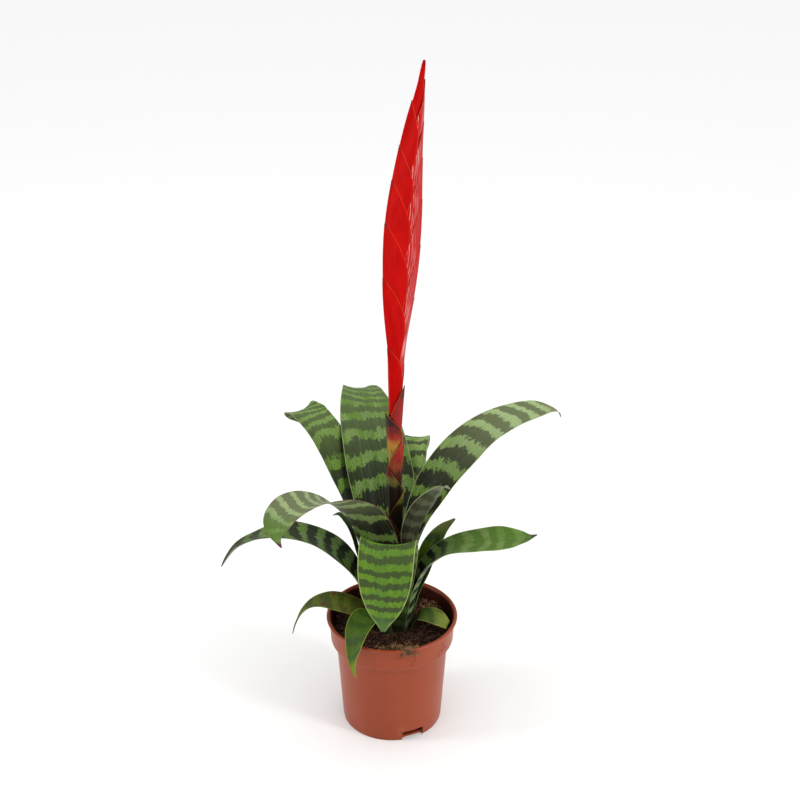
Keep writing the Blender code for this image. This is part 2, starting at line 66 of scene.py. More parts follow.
# name: azimuth, then stations along the midrib: (distance from the plant's
# axis, sideways shift, height, width, roll, half angle of the channel)
LEAVES = {
    "leaf_01": (30, (
        (8.5, 0, 88, 22, 0, 74), (8.6, 0, 102, 22, 0, 74), (10.4, 0, 125, 28, 0, 72),
        (23.5, 4.3, 178, 35.5, -5, 56), (49, 8, 223, 48, 3, 38), (77, 7, 254, 48, 5, 28),
        (103, 5, 271, 44, 1, 20), (124, 2, 279, 37, 3, 16), (141, 0, 281, 29, 9, 15),
        (154, -2, 281.5, 20, 12, 15), (164, -3, 279, 11, 9, 18), (171, -4, 275, 5, 6, 20),
        (174, -4, 269, 2, 6, 20))),
    "leaf_02": (140, (
        (13.7, 0, 88, 28, 0, 60), (13.8, 0, 102, 28, 0, 60), (19, -1, 122, 33, 0, 54),
        (44, -7, 166, 37, 16, 38), (66, -10.5, 213, 43, 12, 27), (83, -8.5, 249, 45, 9, 20),
        (98, -6.5, 269, 45, 9, 17), (111, -6.5, 277, 43, 8, 16), (121, -10, 275, 34, 4, 16),
        (128, -18, 266, 21, 0, 18), (130, -25, 257, 11, 0, 20), (129, -30, 249, 3, 0, 20))),
    "leaf_03": (108, (
        (11.1, 0, 88, 26, 0, 68), (11.2, 0, 102, 26, 0, 68), (14.0, 0, 122, 31, 0, 62),
        (21.5, -1, 142, 38, -3, 54), (33, -2, 165, 53, -6, 50), (58, -5, 206, 65, -1, 40),
        (82, -5, 237, 66, 5, 30), (103, -6, 258, 60, 9, 25), (120, -8, 269, 50, 10, 23),
        (136, -10, 273.5, 38, 9, 22), (152, -11, 268, 27, 6, 22), (164, -10, 258, 18, 3, 22),
        (171, -9, 245, 9, 0, 22), (174, -8, 235, 3, 0, 22))),
    "leaf_04": (75, (
        (12.4, 0, 88, 27, 0, 62), (12.5, 0, 102, 27, 0, 62), (16, 0, 122, 30, 0, 54),
        (25.5, 2, 143, 25, 0, 44), (43, 2, 163, 32, -3, 36), (60, 5, 198, 36, -5, 30),
        (73, 7, 220, 37, -7, 24), (86, 9, 233, 36, -7, 21), (98, 9, 238, 33, -5, 20),
        (109, 9, 236, 28, -3, 19), (118, 8, 225, 20, 0, 19), (123, 8, 211, 10, 0, 20),
        (124, 7, 202, 3, 0, 20))),
    "leaf_05": (210, (
        (9.8, 0, 88, 25, 0, 74), (9.9, 0, 102, 25, 0, 74), (12.2, 0, 122, 34, 0, 72),
        (18, 1, 158, 46, 20, 60), (24, -2.5, 195, 49, 32, 48), (40, -4, 223, 52, 29, 36),
        (63, -6, 240, 49, 19, 26), (86, -8, 245, 44, 5, 20), (103, -8, 241, 37, -7, 16),
        (112, -7, 232, 28, -17, 15), (114, -4, 223, 16, -18, 15), (111, -1, 213, 3, -18, 15))),
    "leaf_06": (186, (
        (16.3, 0, 88, 20, 0, 35), (16.6, 0, 102, 20, 0, 35), (21.5, -1, 114, 23, 0, 34),
        (26, -2, 124, 27, -2, 34), (34, -3, 147, 35, -6, 32), (51, -4, 173, 41, -5, 26),
        (76, -5, 192, 40, 2, 18), (102, -5, 199, 36, 7, 15), (124, -3, 196, 29, 14, 15),
        (142, 0, 188, 19, 12, 20), (151, 3, 178, 9, 4, 30), (155, 4, 172, 2, -4, 36))),
    "leaf_07": (263, (
        (16.3, 0, 88, 22, 0, 39), (16.6, 0, 102, 22.5, 0, 39), (20.5, 0, 122, 30, 0, 41),
        (25, 0, 145, 37, 0, 38), (30.5, 0, 178, 47, 0, 33), (38.5, 0, 202, 51, 0, 28),
        (48, 0, 211, 50, 0, 25), (58, 0, 205, 49, 0, 22), (66, 0, 189, 47, 0, 18),
        (72, 0, 173, 39, 0, 15), (77, 0, 158, 23, 0, 14), (79.5, 0, 151, 11, 0, 14),
        (81, 0, 145, 3, 0, 14))),
    "leaf_08": (-8, (
        (15.0, 0, 88, 24, 0, 45), (15.1, 0, 102, 24, 0, 45), (17, 0, 118, 30, 0, 44),
        (22, 1, 143, 36, 5, 38), (33, 2, 166, 40, -2, 28), (52, 3, 182, 42, -5, 20),
        (76, 3, 190, 40, 1, 15), (96, 3, 194, 35, 6, 12), (110, 3, 196, 25, 2, 10),
        (119, 2, 198, 14, -5, 10), (126, 2, 202, 3, -10, 14))),
    "leaf_09": (35, (
        (16.3, 0, 88, 17, 0, 30), (16.4, 0, 102, 17, 0, 30), (23, 1, 125, 20, 1, 36),
        (35, 2, 147, 23, 5, 36), (45, 3, 166, 21, 5, 30), (56, 3, 178, 14, 1, 25),
        (68, 1, 186, 3, -3, 20))),
    "leaf_10": (-45, (
        (7.2, 0, 88, 17, 0, 68), (7.3, 0, 102, 17, 0, 68), (8.4, 0, 128, 20, 0, 68),
        (10.2, 1, 152, 21, 0, 64), (15.6, 3.1, 178, 16, 0, 58), (21, 3, 202, 25.5, -7, 50),
        (28, 3, 222, 27, -15, 42), (37, 3, 240, 23, -18, 35), (46, 3, 253, 16, -19, 30),
        (56, 2, 263, 8, -19, 25), (66, -1, 266, 2, -17, 25))),
    "leaf_11": (190, (
        (18.9, 0, 88, 15, 0, 23), (19.0, 0, 102, 15, 0, 23), (27, 0, 112, 22, -8, 23),
        (42, 0, 122, 26, -13, 18), (59, -1, 128, 26, -7, 15), (73, -1, 128, 20, 7, 20),
        (85, 1, 121, 12, 15, 38), (92, 3, 110, 5, 18, 45), (95, 4, 101, 2, 18, 45))),
    "leaf_12": (240, (
        (18.9, 0, 88, 15, 0, 23), (19.0, 0, 102, 15, 0, 23), (28, -5, 121, 23, -5, 23),
        (42, -7, 126, 25, -7, 18), (56, -6, 122, 22, -4, 15), (67, -3, 112, 16, 1, 15),
        (74, 0, 102, 9, 6, 25), (77, 3, 94, 4, 9, 40), (77, 5, 89, 2, 9, 45))),
    "leaf_13": (-18, (
        (18.9, 0, 88, 14, 0, 21), (19.0, 0, 102, 14, 0, 21), (23.5, 0, 111.5, 18, 4, 20),
        (32, 0, 113.5, 21, 6, 16), (42, 1, 110.5, 21, 2, 14), (49.5, 1, 105.5, 14, -4, 14))),
    "leaf_14": (168, (
        (15.0, 0, 88, 11, 0, 21), (15.1, 0, 102, 11, 0, 21), (18.4, 0, 114, 11, 0, 21),
        (21.4, 0.5, 124, 10, 0, 20), (26, 1.5, 142, 9, 0, 20), (30.5, 1.5, 158, 9, 0, 20),
        (35, 1, 174, 9.5, 0, 20), (40, 0, 190, 10, 0, 20), (46, 0, 202, 8.5, 0, 18),
        (52, 0, 208, 6, 0, 18), (57, 0, 206, 2, 0, 18))),
    "leaf_15": (106, (
        (16.3, 0, 88, 13, 0, 23), (16.4, 0, 102, 13, 0, 23), (23, 0, 121, 22, 0, 26),
        (40, 0, 143, 31, 0, 24), (58, 0, 155, 34, 0, 20), (77, 0, 157, 32, 0, 17),
        (95, 0, 150, 26, 0, 16), (108, 0, 136, 15, 0, 18), (115, 0, 121, 3, 0, 22))),
    "leaf_16": (72, (
        (17.6, 0, 88, 15, 0, 25), (17.7, 0, 102, 15, 0, 25), (24, 0, 118, 21, 0, 26),
        (38, 0, 131, 27, 0, 22), (55, 0, 138, 28, 0, 18), (71, 0, 135, 25, 0, 16),
        (84, 0, 124, 16, 0, 18), (91, 0, 112, 3, 0, 22))),
    "leaf_17": (128, (
        (18.9, 0, 88, 14, 0, 21), (19.0, 0, 102, 14, 0, 21), (26, -1, 112, 19, 0, 22),
        (38, -4, 119, 22, 0, 18), (50, -8, 120, 20, 0, 16), (60, -12, 115, 12, 0, 20),
        (66, -15, 109, 3, 0, 24))),
}

SCAPE_BRACTS = ((341, -20), (315, 205), (289, -35), (264, 215),
                (240, -15), (219, 200), (198, -50))
SPIKE_AXIS = ((300, 0.0, 0.0), (340, 0.4, 0.2), (368, 1.5, 0.6), (443, 5.2, 2.2),
              (503, 8.4, 4.2), (551, 13.7, 6.8), (584, 19.0, 9.6), (613, 23.5, 12.0))
SPIKE_WIDTH = ((318, 6.6), (340, 8.0), (360, 10.0), (377, 12.8), (400, 17.5), (420, 21.0),
               (445, 23.6), (470, 24.4), (495, 23.2), (520, 19.8), (545, 15.6),
               (570, 11.0), (585, 7.4), (600, 4.0), (610, 1.2))
FLORAL_BRACTS = ((1, 360, 48), (-1, 377, 55), (1, 412, 80), (-1, 441, 96), (1, 458, 98),
                 (-1, 488, 104), (1, 497, 91), (-1, 522, 92), (1, 532, 81), (-1, 548, 74),
                 (1, 562, 70), (-1, 582, 62), (1, 596, 50))
SPIKE_THICK = ((318, 7.0), (345, 7.6), (375, 7.4), (410, 7.0), (450, 6.6), (520, 6.4),
               (556, 5.6), (585, 4.2), (600, 2.6))
TIP_BUD = (557, 611)

# ------------------------------------------------------------- leaf looks
# centres: lengths along the leaf (mm) of the middles of its light bands.
G_LIGHT = (0.098, 0.185, 0.024)
G_PALE = (0.135, 0.210, 0.050)
G_DEEP = (0.035, 0.085, 0.014)
D_DARK = (0.008, 0.010, 0.005)
D_OLIVE = (0.026, 0.033, 0.012)
LOOKS = {
    "leaf_01": dict(centres=(92, 116, 140, 165, 194, 216, 235, 254, 272), share=0.42, light=G_LIGHT,
                    light2=G_PALE, dark=D_DARK, dark2=D_OLIVE, skew=0.25, tip=(0.20, 0.20, 0.11), tip_len=26,
                    far=(0.135, 0.165, 0.075), far_light=(0.28, 0.375, 0.17), far_from=(0.45, 0.85), fade=0.85),
    "leaf_02": dict(centres=(86, 114, 140, 165, 193, 204, 212, 219, 227), share=0.45, shade=(50, 130, 0.7),
                    far=(0.085, 0.125, 0.040), far_light=(0.150, 0.245, 0.060), far_from=(0.50, 0.80), fade=0.9, light=(0.105, 0.21, 0.018),
                    light2=G_LIGHT, dark=D_DARK, dark2=D_OLIVE, skew=-0.2, tip=G_DEEP, tip_len=30),
    "leaf_03": dict(centres=(56, 82, 108, 136, 163, 186, 204, 216, 224, 231, 238, 246), share=0.44, light=G_LIGHT,
                    light2=(0.150, 0.235, 0.070), dark=D_DARK, dark2=D_OLIVE, skew=0.0, tip=G_DEEP, tip_len=25,
                    far=(0.088, 0.132, 0.046), far_from=(0.40, 0.80), fade=0.95, shade=(70, 150, 0.4), freckle=0.95),
    "leaf_04": dict(centres=(66, 88, 108, 126, 142, 156, 171, 184, 196), share=0.60, light=(0.155, 0.270, 0.048),
                    light2=(0.215, 0.315, 0.100), dark=(0.018, 0.024, 0.010), dark2=(0.036, 0.048, 0.018), skew=0.1, tip=(0.12, 0.19, 0.07),
                    tip_len=25, far=(0.085, 0.115, 0.045), far_from=(0.4, 0.9)),
    "leaf_05": dict(centres=(70, 92, 113, 136, 157, 172, 184, 195, 206, 217, 228), share=0.38, bloom=0.05, light=(0.098, 0.185, 0.026),
                    light2=(0.160, 0.225, 0.060), dark=(0.012, 0.012, 0.009), dark2=D_OLIVE, skew=0.2,
                    tip=(0.075, 0.165, 0.012), tip_len=38, point=(0.06, 0.008, 0.015), margin=(0.20, 0.10, 0.08),
                    far=(0.135, 0.160, 0.078), far_light=(0.26, 0.33, 0.15), far_from=(0.45, 0.75), fade=0.9),
    "leaf_06": dict(centres=(48, 64, 80, 97, 115, 133, 150, 166, 181), share=0.46, light=(0.105, 0.200, 0.032),
                    light2=(0.130, 0.190, 0.070), dark=(0.012, 0.014, 0.009), dark2=(0.03, 0.04, 0.02), skew=0.1,
                    tip=(0.035, 0.028, 0.022), tip_len=48, point=(0.02, 0.012, 0.010)),
    "leaf_07": dict(centres=(40, 56, 72, 86, 98, 109, 119, 129, 138, 151, 161, 172, 181, 191), share=0.52,
                    light=(0.105, 0.210, 0.020), light2=(0.086, 0.178, 0.022), dark=(0.046, 0.088, 0.014),
                    dark2=(0.060, 0.098, 0.025), skew=0.0, tip=(0.07, 0.13, 0.04), tip_len=16,
                    margin=(0.42, 0.47, 0.16), shade=(80, 118, 0.3)),
    "leaf_08": dict(centres=(34, 48, 62, 76, 90, 104, 120, 137, 152, 168), share=0.5, light=(0.105, 0.195, 0.028),
                    light2=(0.150, 0.235, 0.062), dark=(0.044, 0.105, 0.014), dark2=(0.054, 0.115, 0.020), skew=0.1,
                    tip=(0.08, 0.15, 0.03), tip_len=20, point=(0.02, 0.014, 0.012), far=(0.080, 0.160, 0.021),
                    far_from=(0.38, 0.62), fade=0.85, base_dark=(0.012, 0.014, 0.012)),
    "leaf_09": dict(centres=(40, 60, 80, 100), share=0.7, light=(0.068, 0.125, 0.010), light2=(0.088, 0.145, 0.014),
                    dark=(0.048, 0.098, 0.008), dark2=(0.055, 0.105, 0.010), skew=0.0, tip=(0.16, 0.17, 0.05), tip_len=22),
    "leaf_10": dict(centres=(40, 58, 76, 93, 110, 126, 141, 155, 168, 180), share=0.45, light=(0.055, 0.065, 0.020),
                    light2=(0.080, 0.085, 0.040), dark=(0.026, 0.015, 0.012), dark2=(0.040, 0.028, 0.020), skew=0.5,
                    tip=(0.23, 0.23, 0.15), tip_len=26, bloom=0.25, shade=(100, 175, 0.7)),
    "leaf_11": dict(centres=(20, 33, 46, 60, 75, 90), share=0.5, light=(0.095, 0.130, 0.015), light2=(0.120, 0.135, 0.018),
                    dark=(0.062, 0.088, 0.010), dark2=(0.078, 0.098, 0.014), skew=0.1, tip=(0.075, 0.10, 0.015), tip_len=34,
                    margin=(0.26, 0.27, 0.04), patch=(0.12, 0.025, 0.01)),
    "leaf_12": dict(centres=(20, 36, 52, 68, 84), share=0.6, light=(0.044, 0.095, 0.008), light2=(0.062, 0.112, 0.014),
                    dark=(0.033, 0.080, 0.007), dark2=(0.040, 0.090, 0.010), skew=0.3, tip=(0.16, 0.24, 0.02), tip_len=24,
                    margin=(0.24, 0.30, 0.04)),
    "leaf_13": dict(centres=(14, 28, 42), share=0.6, shade=(20, 50, 0.6), light=(0.075, 0.150, 0.012), light2=(0.100, 0.155, 0.015),
                    dark=(0.052, 0.118, 0.010), dark2=(0.060, 0.122, 0.012), skew=0.3, tip=(0.20, 0.24, 0.035), tip_len=12,
                    margin=(0.34, 0.30, 0.06)),
    "leaf_14": dict(centres=(60, 80, 100, 120), share=0.5, light=(0.028, 0.062, 0.010), light2=(0.020, 0.045, 0.008),
                    dark=(0.009, 0.012, 0.006), dark2=(0.014, 0.018, 0.008), skew=0.1, tip=(0.02, 0.045, 0.012), tip_len=20,
                    bloom=0.1),
    "leaf_15": dict(centres=(40, 56, 72, 88, 103, 117, 130), share=0.45, light=G_LIGHT, light2=G_PALE,
                    dark=D_DARK, dark2=D_OLIVE, skew=0.1, tip=G_DEEP, tip_len=22),
    "leaf_16": dict(centres=(36, 50, 64, 77, 90, 102), share=0.48, light=(0.10, 0.19, 0.04), light2=G_DEEP,
                    dark=(0.03, 0.05, 0.015), dark2=D_OLIVE, skew=-0.1, tip=(0.12, 0.14, 0.02), tip_len=20,
                    margin=(0.24, 0.27, 0.05)),
    "leaf_17": dict(centres=(24, 36, 48, 60), share=0.5, light=(0.07, 0.13, 0.025), light2=G_DEEP,
                    dark=(0.03, 0.06, 0.015), dark2=D_OLIVE, skew=0.2, tip=(0.20, 0.18, 0.03), tip_len=18,
                    margin=(0.26, 0.27, 0.05)),
}


# ================================================================ shaders
class Graph:
    """A material's node tree, with short calls for the nodes used here."""

    def __init__(self, name, roughness=0.5, specular=0.5):
        self.mat = bpy.data.materials.new(name)
        self.mat.use_nodes = True
        self.nt = self.mat.node_tree
        self.bsdf = self.nt.nodes["Principled BSDF"]
        self.bsdf.inputs["Roughness"].default_value = roughness
        self.bsdf.inputs["Specular IOR Level"].default_value = specular

    def put(self, socket, value):
        if isinstance(value, bpy.types.NodeSocket):
            self.nt.links.new(value, socket)
        elif isinstance(value, (tuple, list)):
            socket.default_value = (*value, 1.0) if len(value) == 3 and socket.type == "RGBA" else value
        else:
            socket.default_value = value

    def attr(self, name, vector=False):
        n = self.nt.nodes.new("ShaderNodeAttribute")
        n.attribute_type = "GEOMETRY"
        n.attribute_name = name
        return n.outputs["Vector" if vector else "Fac"]

    def math(self, op, a, b=0.0, c=0.0, clamp=False):
        n = self.nt.nodes.new("ShaderNodeMath")
        n.operation = op
        n.use_clamp = clamp
        for s, v in zip(n.inputs, (a, b, c)):
            self.put(s, v)
        return n.outputs[0]

    def xyz(self, x, y, z=0.0):
        n = self.nt.nodes.new("ShaderNodeCombineXYZ")
        for s, v in zip(n.inputs, (x, y, z)):
            self.put(s, v)
        return n.outputs[0]

    def noise(self, vec, scale=1.0, detail=2.0, rough=0.5):
        n = self.nt.nodes.new("ShaderNodeTexNoise")
        n.inputs["Scale"].default_value = scale
        n.inputs["Detail"].default_value = detail
        n.inputs["Roughness"].default_value = rough
        self.nt.links.new(vec, n.inputs["Vector"])
        return n.outputs["Fac"]

    def step(self, x, lo, hi, to=(0.0, 1.0)):
        n = self.nt.nodes.new("ShaderNodeMapRange")
        n.interpolation_type = "SMOOTHSTEP"
        n.clamp = True
        self.put(n.inputs["Value"], x)
        self.put(n.inputs["From Min"], lo)
        self.put(n.inputs["From Max"], hi)
        self.put(n.inputs["To Min"], to[0])
        self.put(n.inputs["To Max"], to[1])
        return n.outputs["Result"]

    def mix(self, fac, a, b):
        n = self.nt.nodes.new("ShaderNodeMix")
        n.data_type = "RGBA"
        self.put(n.inputs[0], fac)
        self.put(n.inputs[6], a)
        self.put(n.inputs[7], b)
        return n.outputs[2]

    def scale(self, colour, fac):
        n = self.nt.nodes.new("ShaderNodeVectorMath")
        n.operation = "SCALE"
        self.put(n.inputs[0], colour)
        self.put(n.inputs[3], fac)
        return n.outputs[0]

    def bump(self, height, strength, distance=0.0005):
        n = self.nt.nodes.new("ShaderNodeBump")
        n.inputs["Strength"].default_value = strength
        n.inputs["Distance"].default_value = distance
        self.nt.links.new(height, n.inputs["Height"])
        self.nt.links.new(n.outputs["Normal"], self.bsdf.inputs["Normal"])

    def colour(self, value):
        self.put(self.bsdf.inputs["Base Color"], value)


def leaf_material(name, look, seed):
    g = Graph(name + "_skin", roughness=0.44, specular=look.get("sheen", 0.09))
    lat, along, band = g.attr("lat"), g.attr("along"), g.attr("band")
    edge, tipd, under = g.attr("edge"), g.attr("tipd"), g.attr("under")
    # jagged band edges: wide waves, teeth along the veins, and fine grain
    w1 = g.noise(g.xyz(g.math("MULTIPLY", lat, 0.055), g.math("MULTIPLY", along, 0.035), seed), 1.0, 2)
    w2 = g.noise(g.xyz(g.math("MULTIPLY", lat, 0.38), g.math("MULTIPLY", along, 0.16), seed + 7.1), 1.0, 2)
    w3 = g.noise(g.xyz(g.math("MULTIPLY", lat, 1.5), g.math("MULTIPLY", along, 0.5), seed + 3.3), 1.0, 2)
    ph = g.math("MULTIPLY_ADD", g.math("SUBTRACT", w1, 0.5), 0.85, band)
    ph = g.math("MULTIPLY_ADD", g.math("SUBTRACT", w2, 0.5), 0.55, ph)
    ph = g.math("MULTIPLY_ADD", g.math("SUBTRACT", w3, 0.5), 0.28, ph)
    tri = g.math("MULTIPLY", g.math("PINGPONG", ph, 0.5), 2.0)
    share = look["share"]
    soft = look.get("soft", 0.05)
    dark = g.step(tri, share - soft, share + soft)
    # dark freckles in the light bands
    f = g.noise(g.xyz(g.math("MULTIPLY", lat, 0.9), g.math("MULTIPLY", along, 0.75), seed + 20.0), 1.0, 1)
    freckle = g.math("MULTIPLY", g.step(f, 0.63, 0.67), look.get("freckle", 0.75))
    dark = g.math("MAXIMUM", dark, freckle)
    # lengthwise streaks
    s1 = g.noise(g.xyz(g.math("MULTIPLY", lat, 1.3), g.math("MULTIPLY", along, 0.02), seed + 30.0), 1.0, 3)
    s2 = g.noise(g.xyz(g.math("MULTIPLY", lat, 0.12), g.math("MULTIPLY", along, 0.03), seed + 41.0), 1.0, 2)
    light_c = g.mix(g.step(s2, 0.35, 0.65), look["light"], look["light2"])
    # the underside is greyer, with a scurfy bloom on its light bands
    pale = tuple(min(1.0, 0.55 * c + 0.075) for c in look["light"])
    light_c = g.mix(g.math("MULTIPLY", under, look.get("bloom", 0.55)), light_c, pale)
    # the far part of the leaf is paler with fainter dark bands: partly the leaf's own fading, partly painted sheen on
    # the arched tops that face the light
    if "far_light" in look:
        light_c = g.mix(g.step(g.attr("far"), *look.get("far_from", (0.5, 0.9))), light_c, look["far_light"])
    dark_c = g.mix(g.step(s1, 0.42, 0.68), look["dark"], look["dark2"])
    far = look.get("far", (0.045, 0.060, 0.026))
    dark_c = g.mix(g.math("MULTIPLY", g.step(g.attr("far"), *look.get("far_from", (0.35, 0.95))), look.get("fade", 0.75)), dark_c, far)
    if "base_dark" in look:
        dark_c = g.mix(g.step(along, 112.0, 84.0), dark_c, look["base_dark"])
    col = g.mix(dark, light_c, dark_c)
    if "patch" in look:
        p = g.noise(g.xyz(g.math("MULTIPLY", lat, 0.12), g.math("MULTIPLY", along, 0.09), seed + 50.0), 1.0, 3)
        col = g.mix(g.math("MULTIPLY", g.step(p, 0.58, 0.68), 0.7), col, look["patch"])
    tip_len = look.get("tip_len", 25)
    tip_w = g.math("MULTIPLY_ADD", g.math("SUBTRACT", w1, 0.5), 24.0, tipd)
    col = g.mix(g.math("MULTIPLY", g.step(tip_w, tip_len, tip_len * 0.25), 0.85), col, look["tip"])
    if "point" in look:
        col = g.mix(g.step(tipd, 7.0, 3.0), col, look["point"])
    # pale margin line, and painted shade that darkens the foot of the leaf deep in the rosette
    margin = look.get("margin", (0.32, 0.36, 0.20))
    col = g.mix(g.math("MULTIPLY", g.step(edge, 0.955, 0.985), 0.75), col, margin)
    col = g.mix(g.math("MULTIPLY", g.step(along, 34.0, 12.0), 0.7), col, (0.022, 0.020, 0.012))
    gain = g.step(s1, 0.25, 0.75, (0.86, 1.14))
    # painted shade: the colour darkens towards the foot of the leaf, low in the rosette and under its own fold
    if "shade" in look:
        near, clear, low = look["shade"]
        gain = g.math("MULTIPLY", gain, g.step(along, near, clear, (low, 1.0)))
    g.colour(g.scale(col, gain))
    ribs = g.noise(g.xyz(g.math("MULTIPLY", lat, 1.7), g.math("MULTIPLY", along, 0.012), seed + 60.0), 1.0, 2)
    g.bump(ribs, 0.35, 0.0004)
    return g.mat


def bract_material(name, seed, sheen=0.0):
    g = Graph(name + "_skin", roughness=0.30, specular=0.02)
    lat, along, edge, tipd = g.attr("lat"), g.attr("along"), g.attr("edge"), g.attr("tipd")
    n = g.noise(g.xyz(g.math("MULTIPLY", lat, 0.22), g.math("MULTIPLY", along, 0.05), seed), 1.0, 3)
    s = g.noise(g.xyz(g.math("MULTIPLY", lat, 1.2), g.math("MULTIPLY", along, 0.03), seed + 9.0), 1.0, 2)
    col = g.mix(g.step(n, 0.3, 0.7), (0.365, 0.0020, 0.0016), (0.440, 0.0028, 0.0020))
    col = g.scale(col, g.step(s, 0.3, 0.7, (0.93, 1.07)))
    if sheen:
        # streaks up the side turned to the light: a raised specular level, and a painted highlight of pale pink in the
        # base colour
        w = g.noise(g.xyz(g.math("MULTIPLY", lat, 0.75), g.math("MULTIPLY", along, 0.035), 3.0), 1.0, 3)
        w = g.math("MULTIPLY", g.step(w, 0.52, 0.60), g.attr("ridge"))
        g.put(g.bsdf.inputs["Specular IOR Level"], g.math("MULTIPLY_ADD", w, sheen, 0.02))
        # painted highlight: pale pink streaks mixed into the base colour
        col = g.mix(g.math("MULTIPLY", w, 0.6), col, (0.66, 0.30, 0.29))
    col = g.mix(g.math("MULTIPLY", g.step(edge, 0.955, 0.99), 0.6), col, (0.62, 0.075, 0.025))
    col = g.mix(g.math("MULTIPLY", g.step(tipd, 6.0, 0.5), 0.6), col, (0.16, 0.008, 0.008))
    g.colour(col)
    g.bump(s, 0.25, 0.0003)
    return g.mat


def scape_material(name, seed, stops):
    g = Graph(name + "_skin", roughness=0.36, specular=0.14)
    lat, along, edge, tipd = g.attr("lat"), g.attr("along"), g.attr("edge"), g.attr("tipd")
    n = g.noise(g.xyz(g.math("MULTIPLY", lat, 0.16), g.math("MULTIPLY", along, 0.07), seed), 1.0, 3)
    s = g.noise(g.xyz(g.math("MULTIPLY", lat, 1.1), g.math("MULTIPLY", along, 0.03), seed + 9.0), 1.0, 2)
    t = g.math("MULTIPLY_ADD", g.math("SUBTRACT", n, 0.5), 14.0, tipd)
    col = stops[-1][1]
    for (d0, c), (d1, _) in zip(stops[-2::-1], stops[:0:-1]):
        col = g.mix(g.step(t, d1, d0), col, c)
    blot = g.noise(g.xyz(g.math("MULTIPLY", lat, 0.35), g.math("MULTIPLY", along, 0.16), seed + 4.0), 1.0, 2)
    col = g.mix(g.math("MULTIPLY", g.step(blot, 0.60, 0.70), 0.6), col, (0.035, 0.006, 0.005))
    col = g.scale(col, g.step(s, 0.3, 0.7, (0.82, 1.14)))
    col = g.mix(g.math("MULTIPLY", g.step(edge, 0.93, 0.985), 0.5), col, (0.45, 0.10, 0.04))
    g.colour(col)
    g.bump(s, 0.3, 0.0003)
    return g.mat


def coords(g):
    n = g.nt.nodes.new("ShaderNodeTexCoord")
    return n.outputs["Object"]


def plastic_material():
    g = Graph("terracotta_plastic_skin", roughness=0.36, specular=0.27)
    co = coords(g)
    n = g.noise(co, 22.0, 3)
    fine = g.noise(co, 900.0, 2)
    col = g.mix(g.step(n, 0.3, 0.7), (0.262, 0.044, 0.012), (0.288, 0.050, 0.015))
    dust = g.noise(co, 60.0, 4, 0.6)
    col = g.mix(g.math("MULTIPLY", g.step(dust, 0.62, 0.75), 0.10), col, (0.42, 0.26, 0.20))
    # painted shade: the inside of the collar above the soil is darkened
    sep = g.nt.nodes.new("ShaderNodeSeparateXYZ")
    g.put(sep.inputs[0], co)
    r = g.math("SQRT", g.math("ADD", g.math("MULTIPLY", sep.outputs[0], sep.outputs[0]),
                              g.math("MULTIPLY", sep.outputs[1], sep.outputs[1])))
    collar_inner_shade = g.math("MULTIPLY", g.step(r, 0.05625, 0.05605), g.step(sep.outputs[2], 0.0862, 0.0868))
    col = g.mix(collar_inner_shade, col, (0.070, 0.015, 0.008))
    g.colour(g.scale(col, g.step(fine, 0.2, 0.8, (0.95, 1.05))))
    g.bump(fine, 0.06, 0.0003)
    return g.mat


def soil_material(name, dark=(0.010, 0.006, 0.004), mid=(0.034, 0.016, 0.010), warm=(0.095, 0.040, 0.022)):
    g = Graph(name, roughness=0.92, specular=0.08)
    co = coords(g)
    a = g.noise(co, 260.0, 4, 0.65)
    b = g.noise(co, 900.0, 3, 0.6)
    col = g.mix(g.step(a, 0.35, 0.6), dark, mid)
    col = g.mix(g.math("MULTIPLY", g.step(b, 0.56, 0.72), 0.8), col, warm)
    g.colour(col)
    g.bump(b, 0.6, 0.0006)
    return g.mat


def fibre_material(name, lo, hi):
    g = Graph(name, roughness=0.8, specular=0.3)
    g.colour(g.mix(g.step(g.noise(coords(g), 150.0, 2), 0.35, 0.65), lo, hi))
    return g.mat


# ================================================================= shapes
def curve_through(ts, values, t):
    """Smooth curve through the stations: a cubic with averaged slopes."""
    ts = np.asarray(ts, float)
    v = np.asarray(values, float)
    t = np.clip(np.asarray(t, float), ts[0], ts[-1])
    flat = v.ndim == 1
    if flat:
        v = v[:, None]
    step = np.diff(ts)
    slope = np.diff(v, axis=0) / step[:, None]
    m = np.empty_like(v)
    m[0], m[-1] = slope[0], slope[-1]
    w0, w1 = step[1:, None], step[:-1, None]
    m[1:-1] = (slope[:-1] * w0 + slope[1:] * w1) / (w0 + w1)
    k = np.clip(np.searchsorted(ts, t, side="right") - 1, 0, len(ts) - 2)
    h = step[k][:, None]
    s = ((t - ts[k]) / step[k])[:, None]
    out = ((2 * s**3 - 3 * s**2 + 1) * v[k] + (s**3 - 2 * s**2 + s) * h * m[k]
           + (-2 * s**3 + 3 * s**2) * v[k + 1] + (s**3 - s**2) * h * m[k + 1])
    return out[:, 0] if flat else out


def axis_at(z):
    table = np.array(SPIKE_AXIS, float)
    z = np.atleast_1d(np.asarray(z, float))
    xy = curve_through(table[:, 0], table[:, 1:], z)
    xy[z < table[0, 0]] = table[0, 1:]
    return np.stack([AXIS_X + xy[:, 0], xy[:, 1], z], 1)


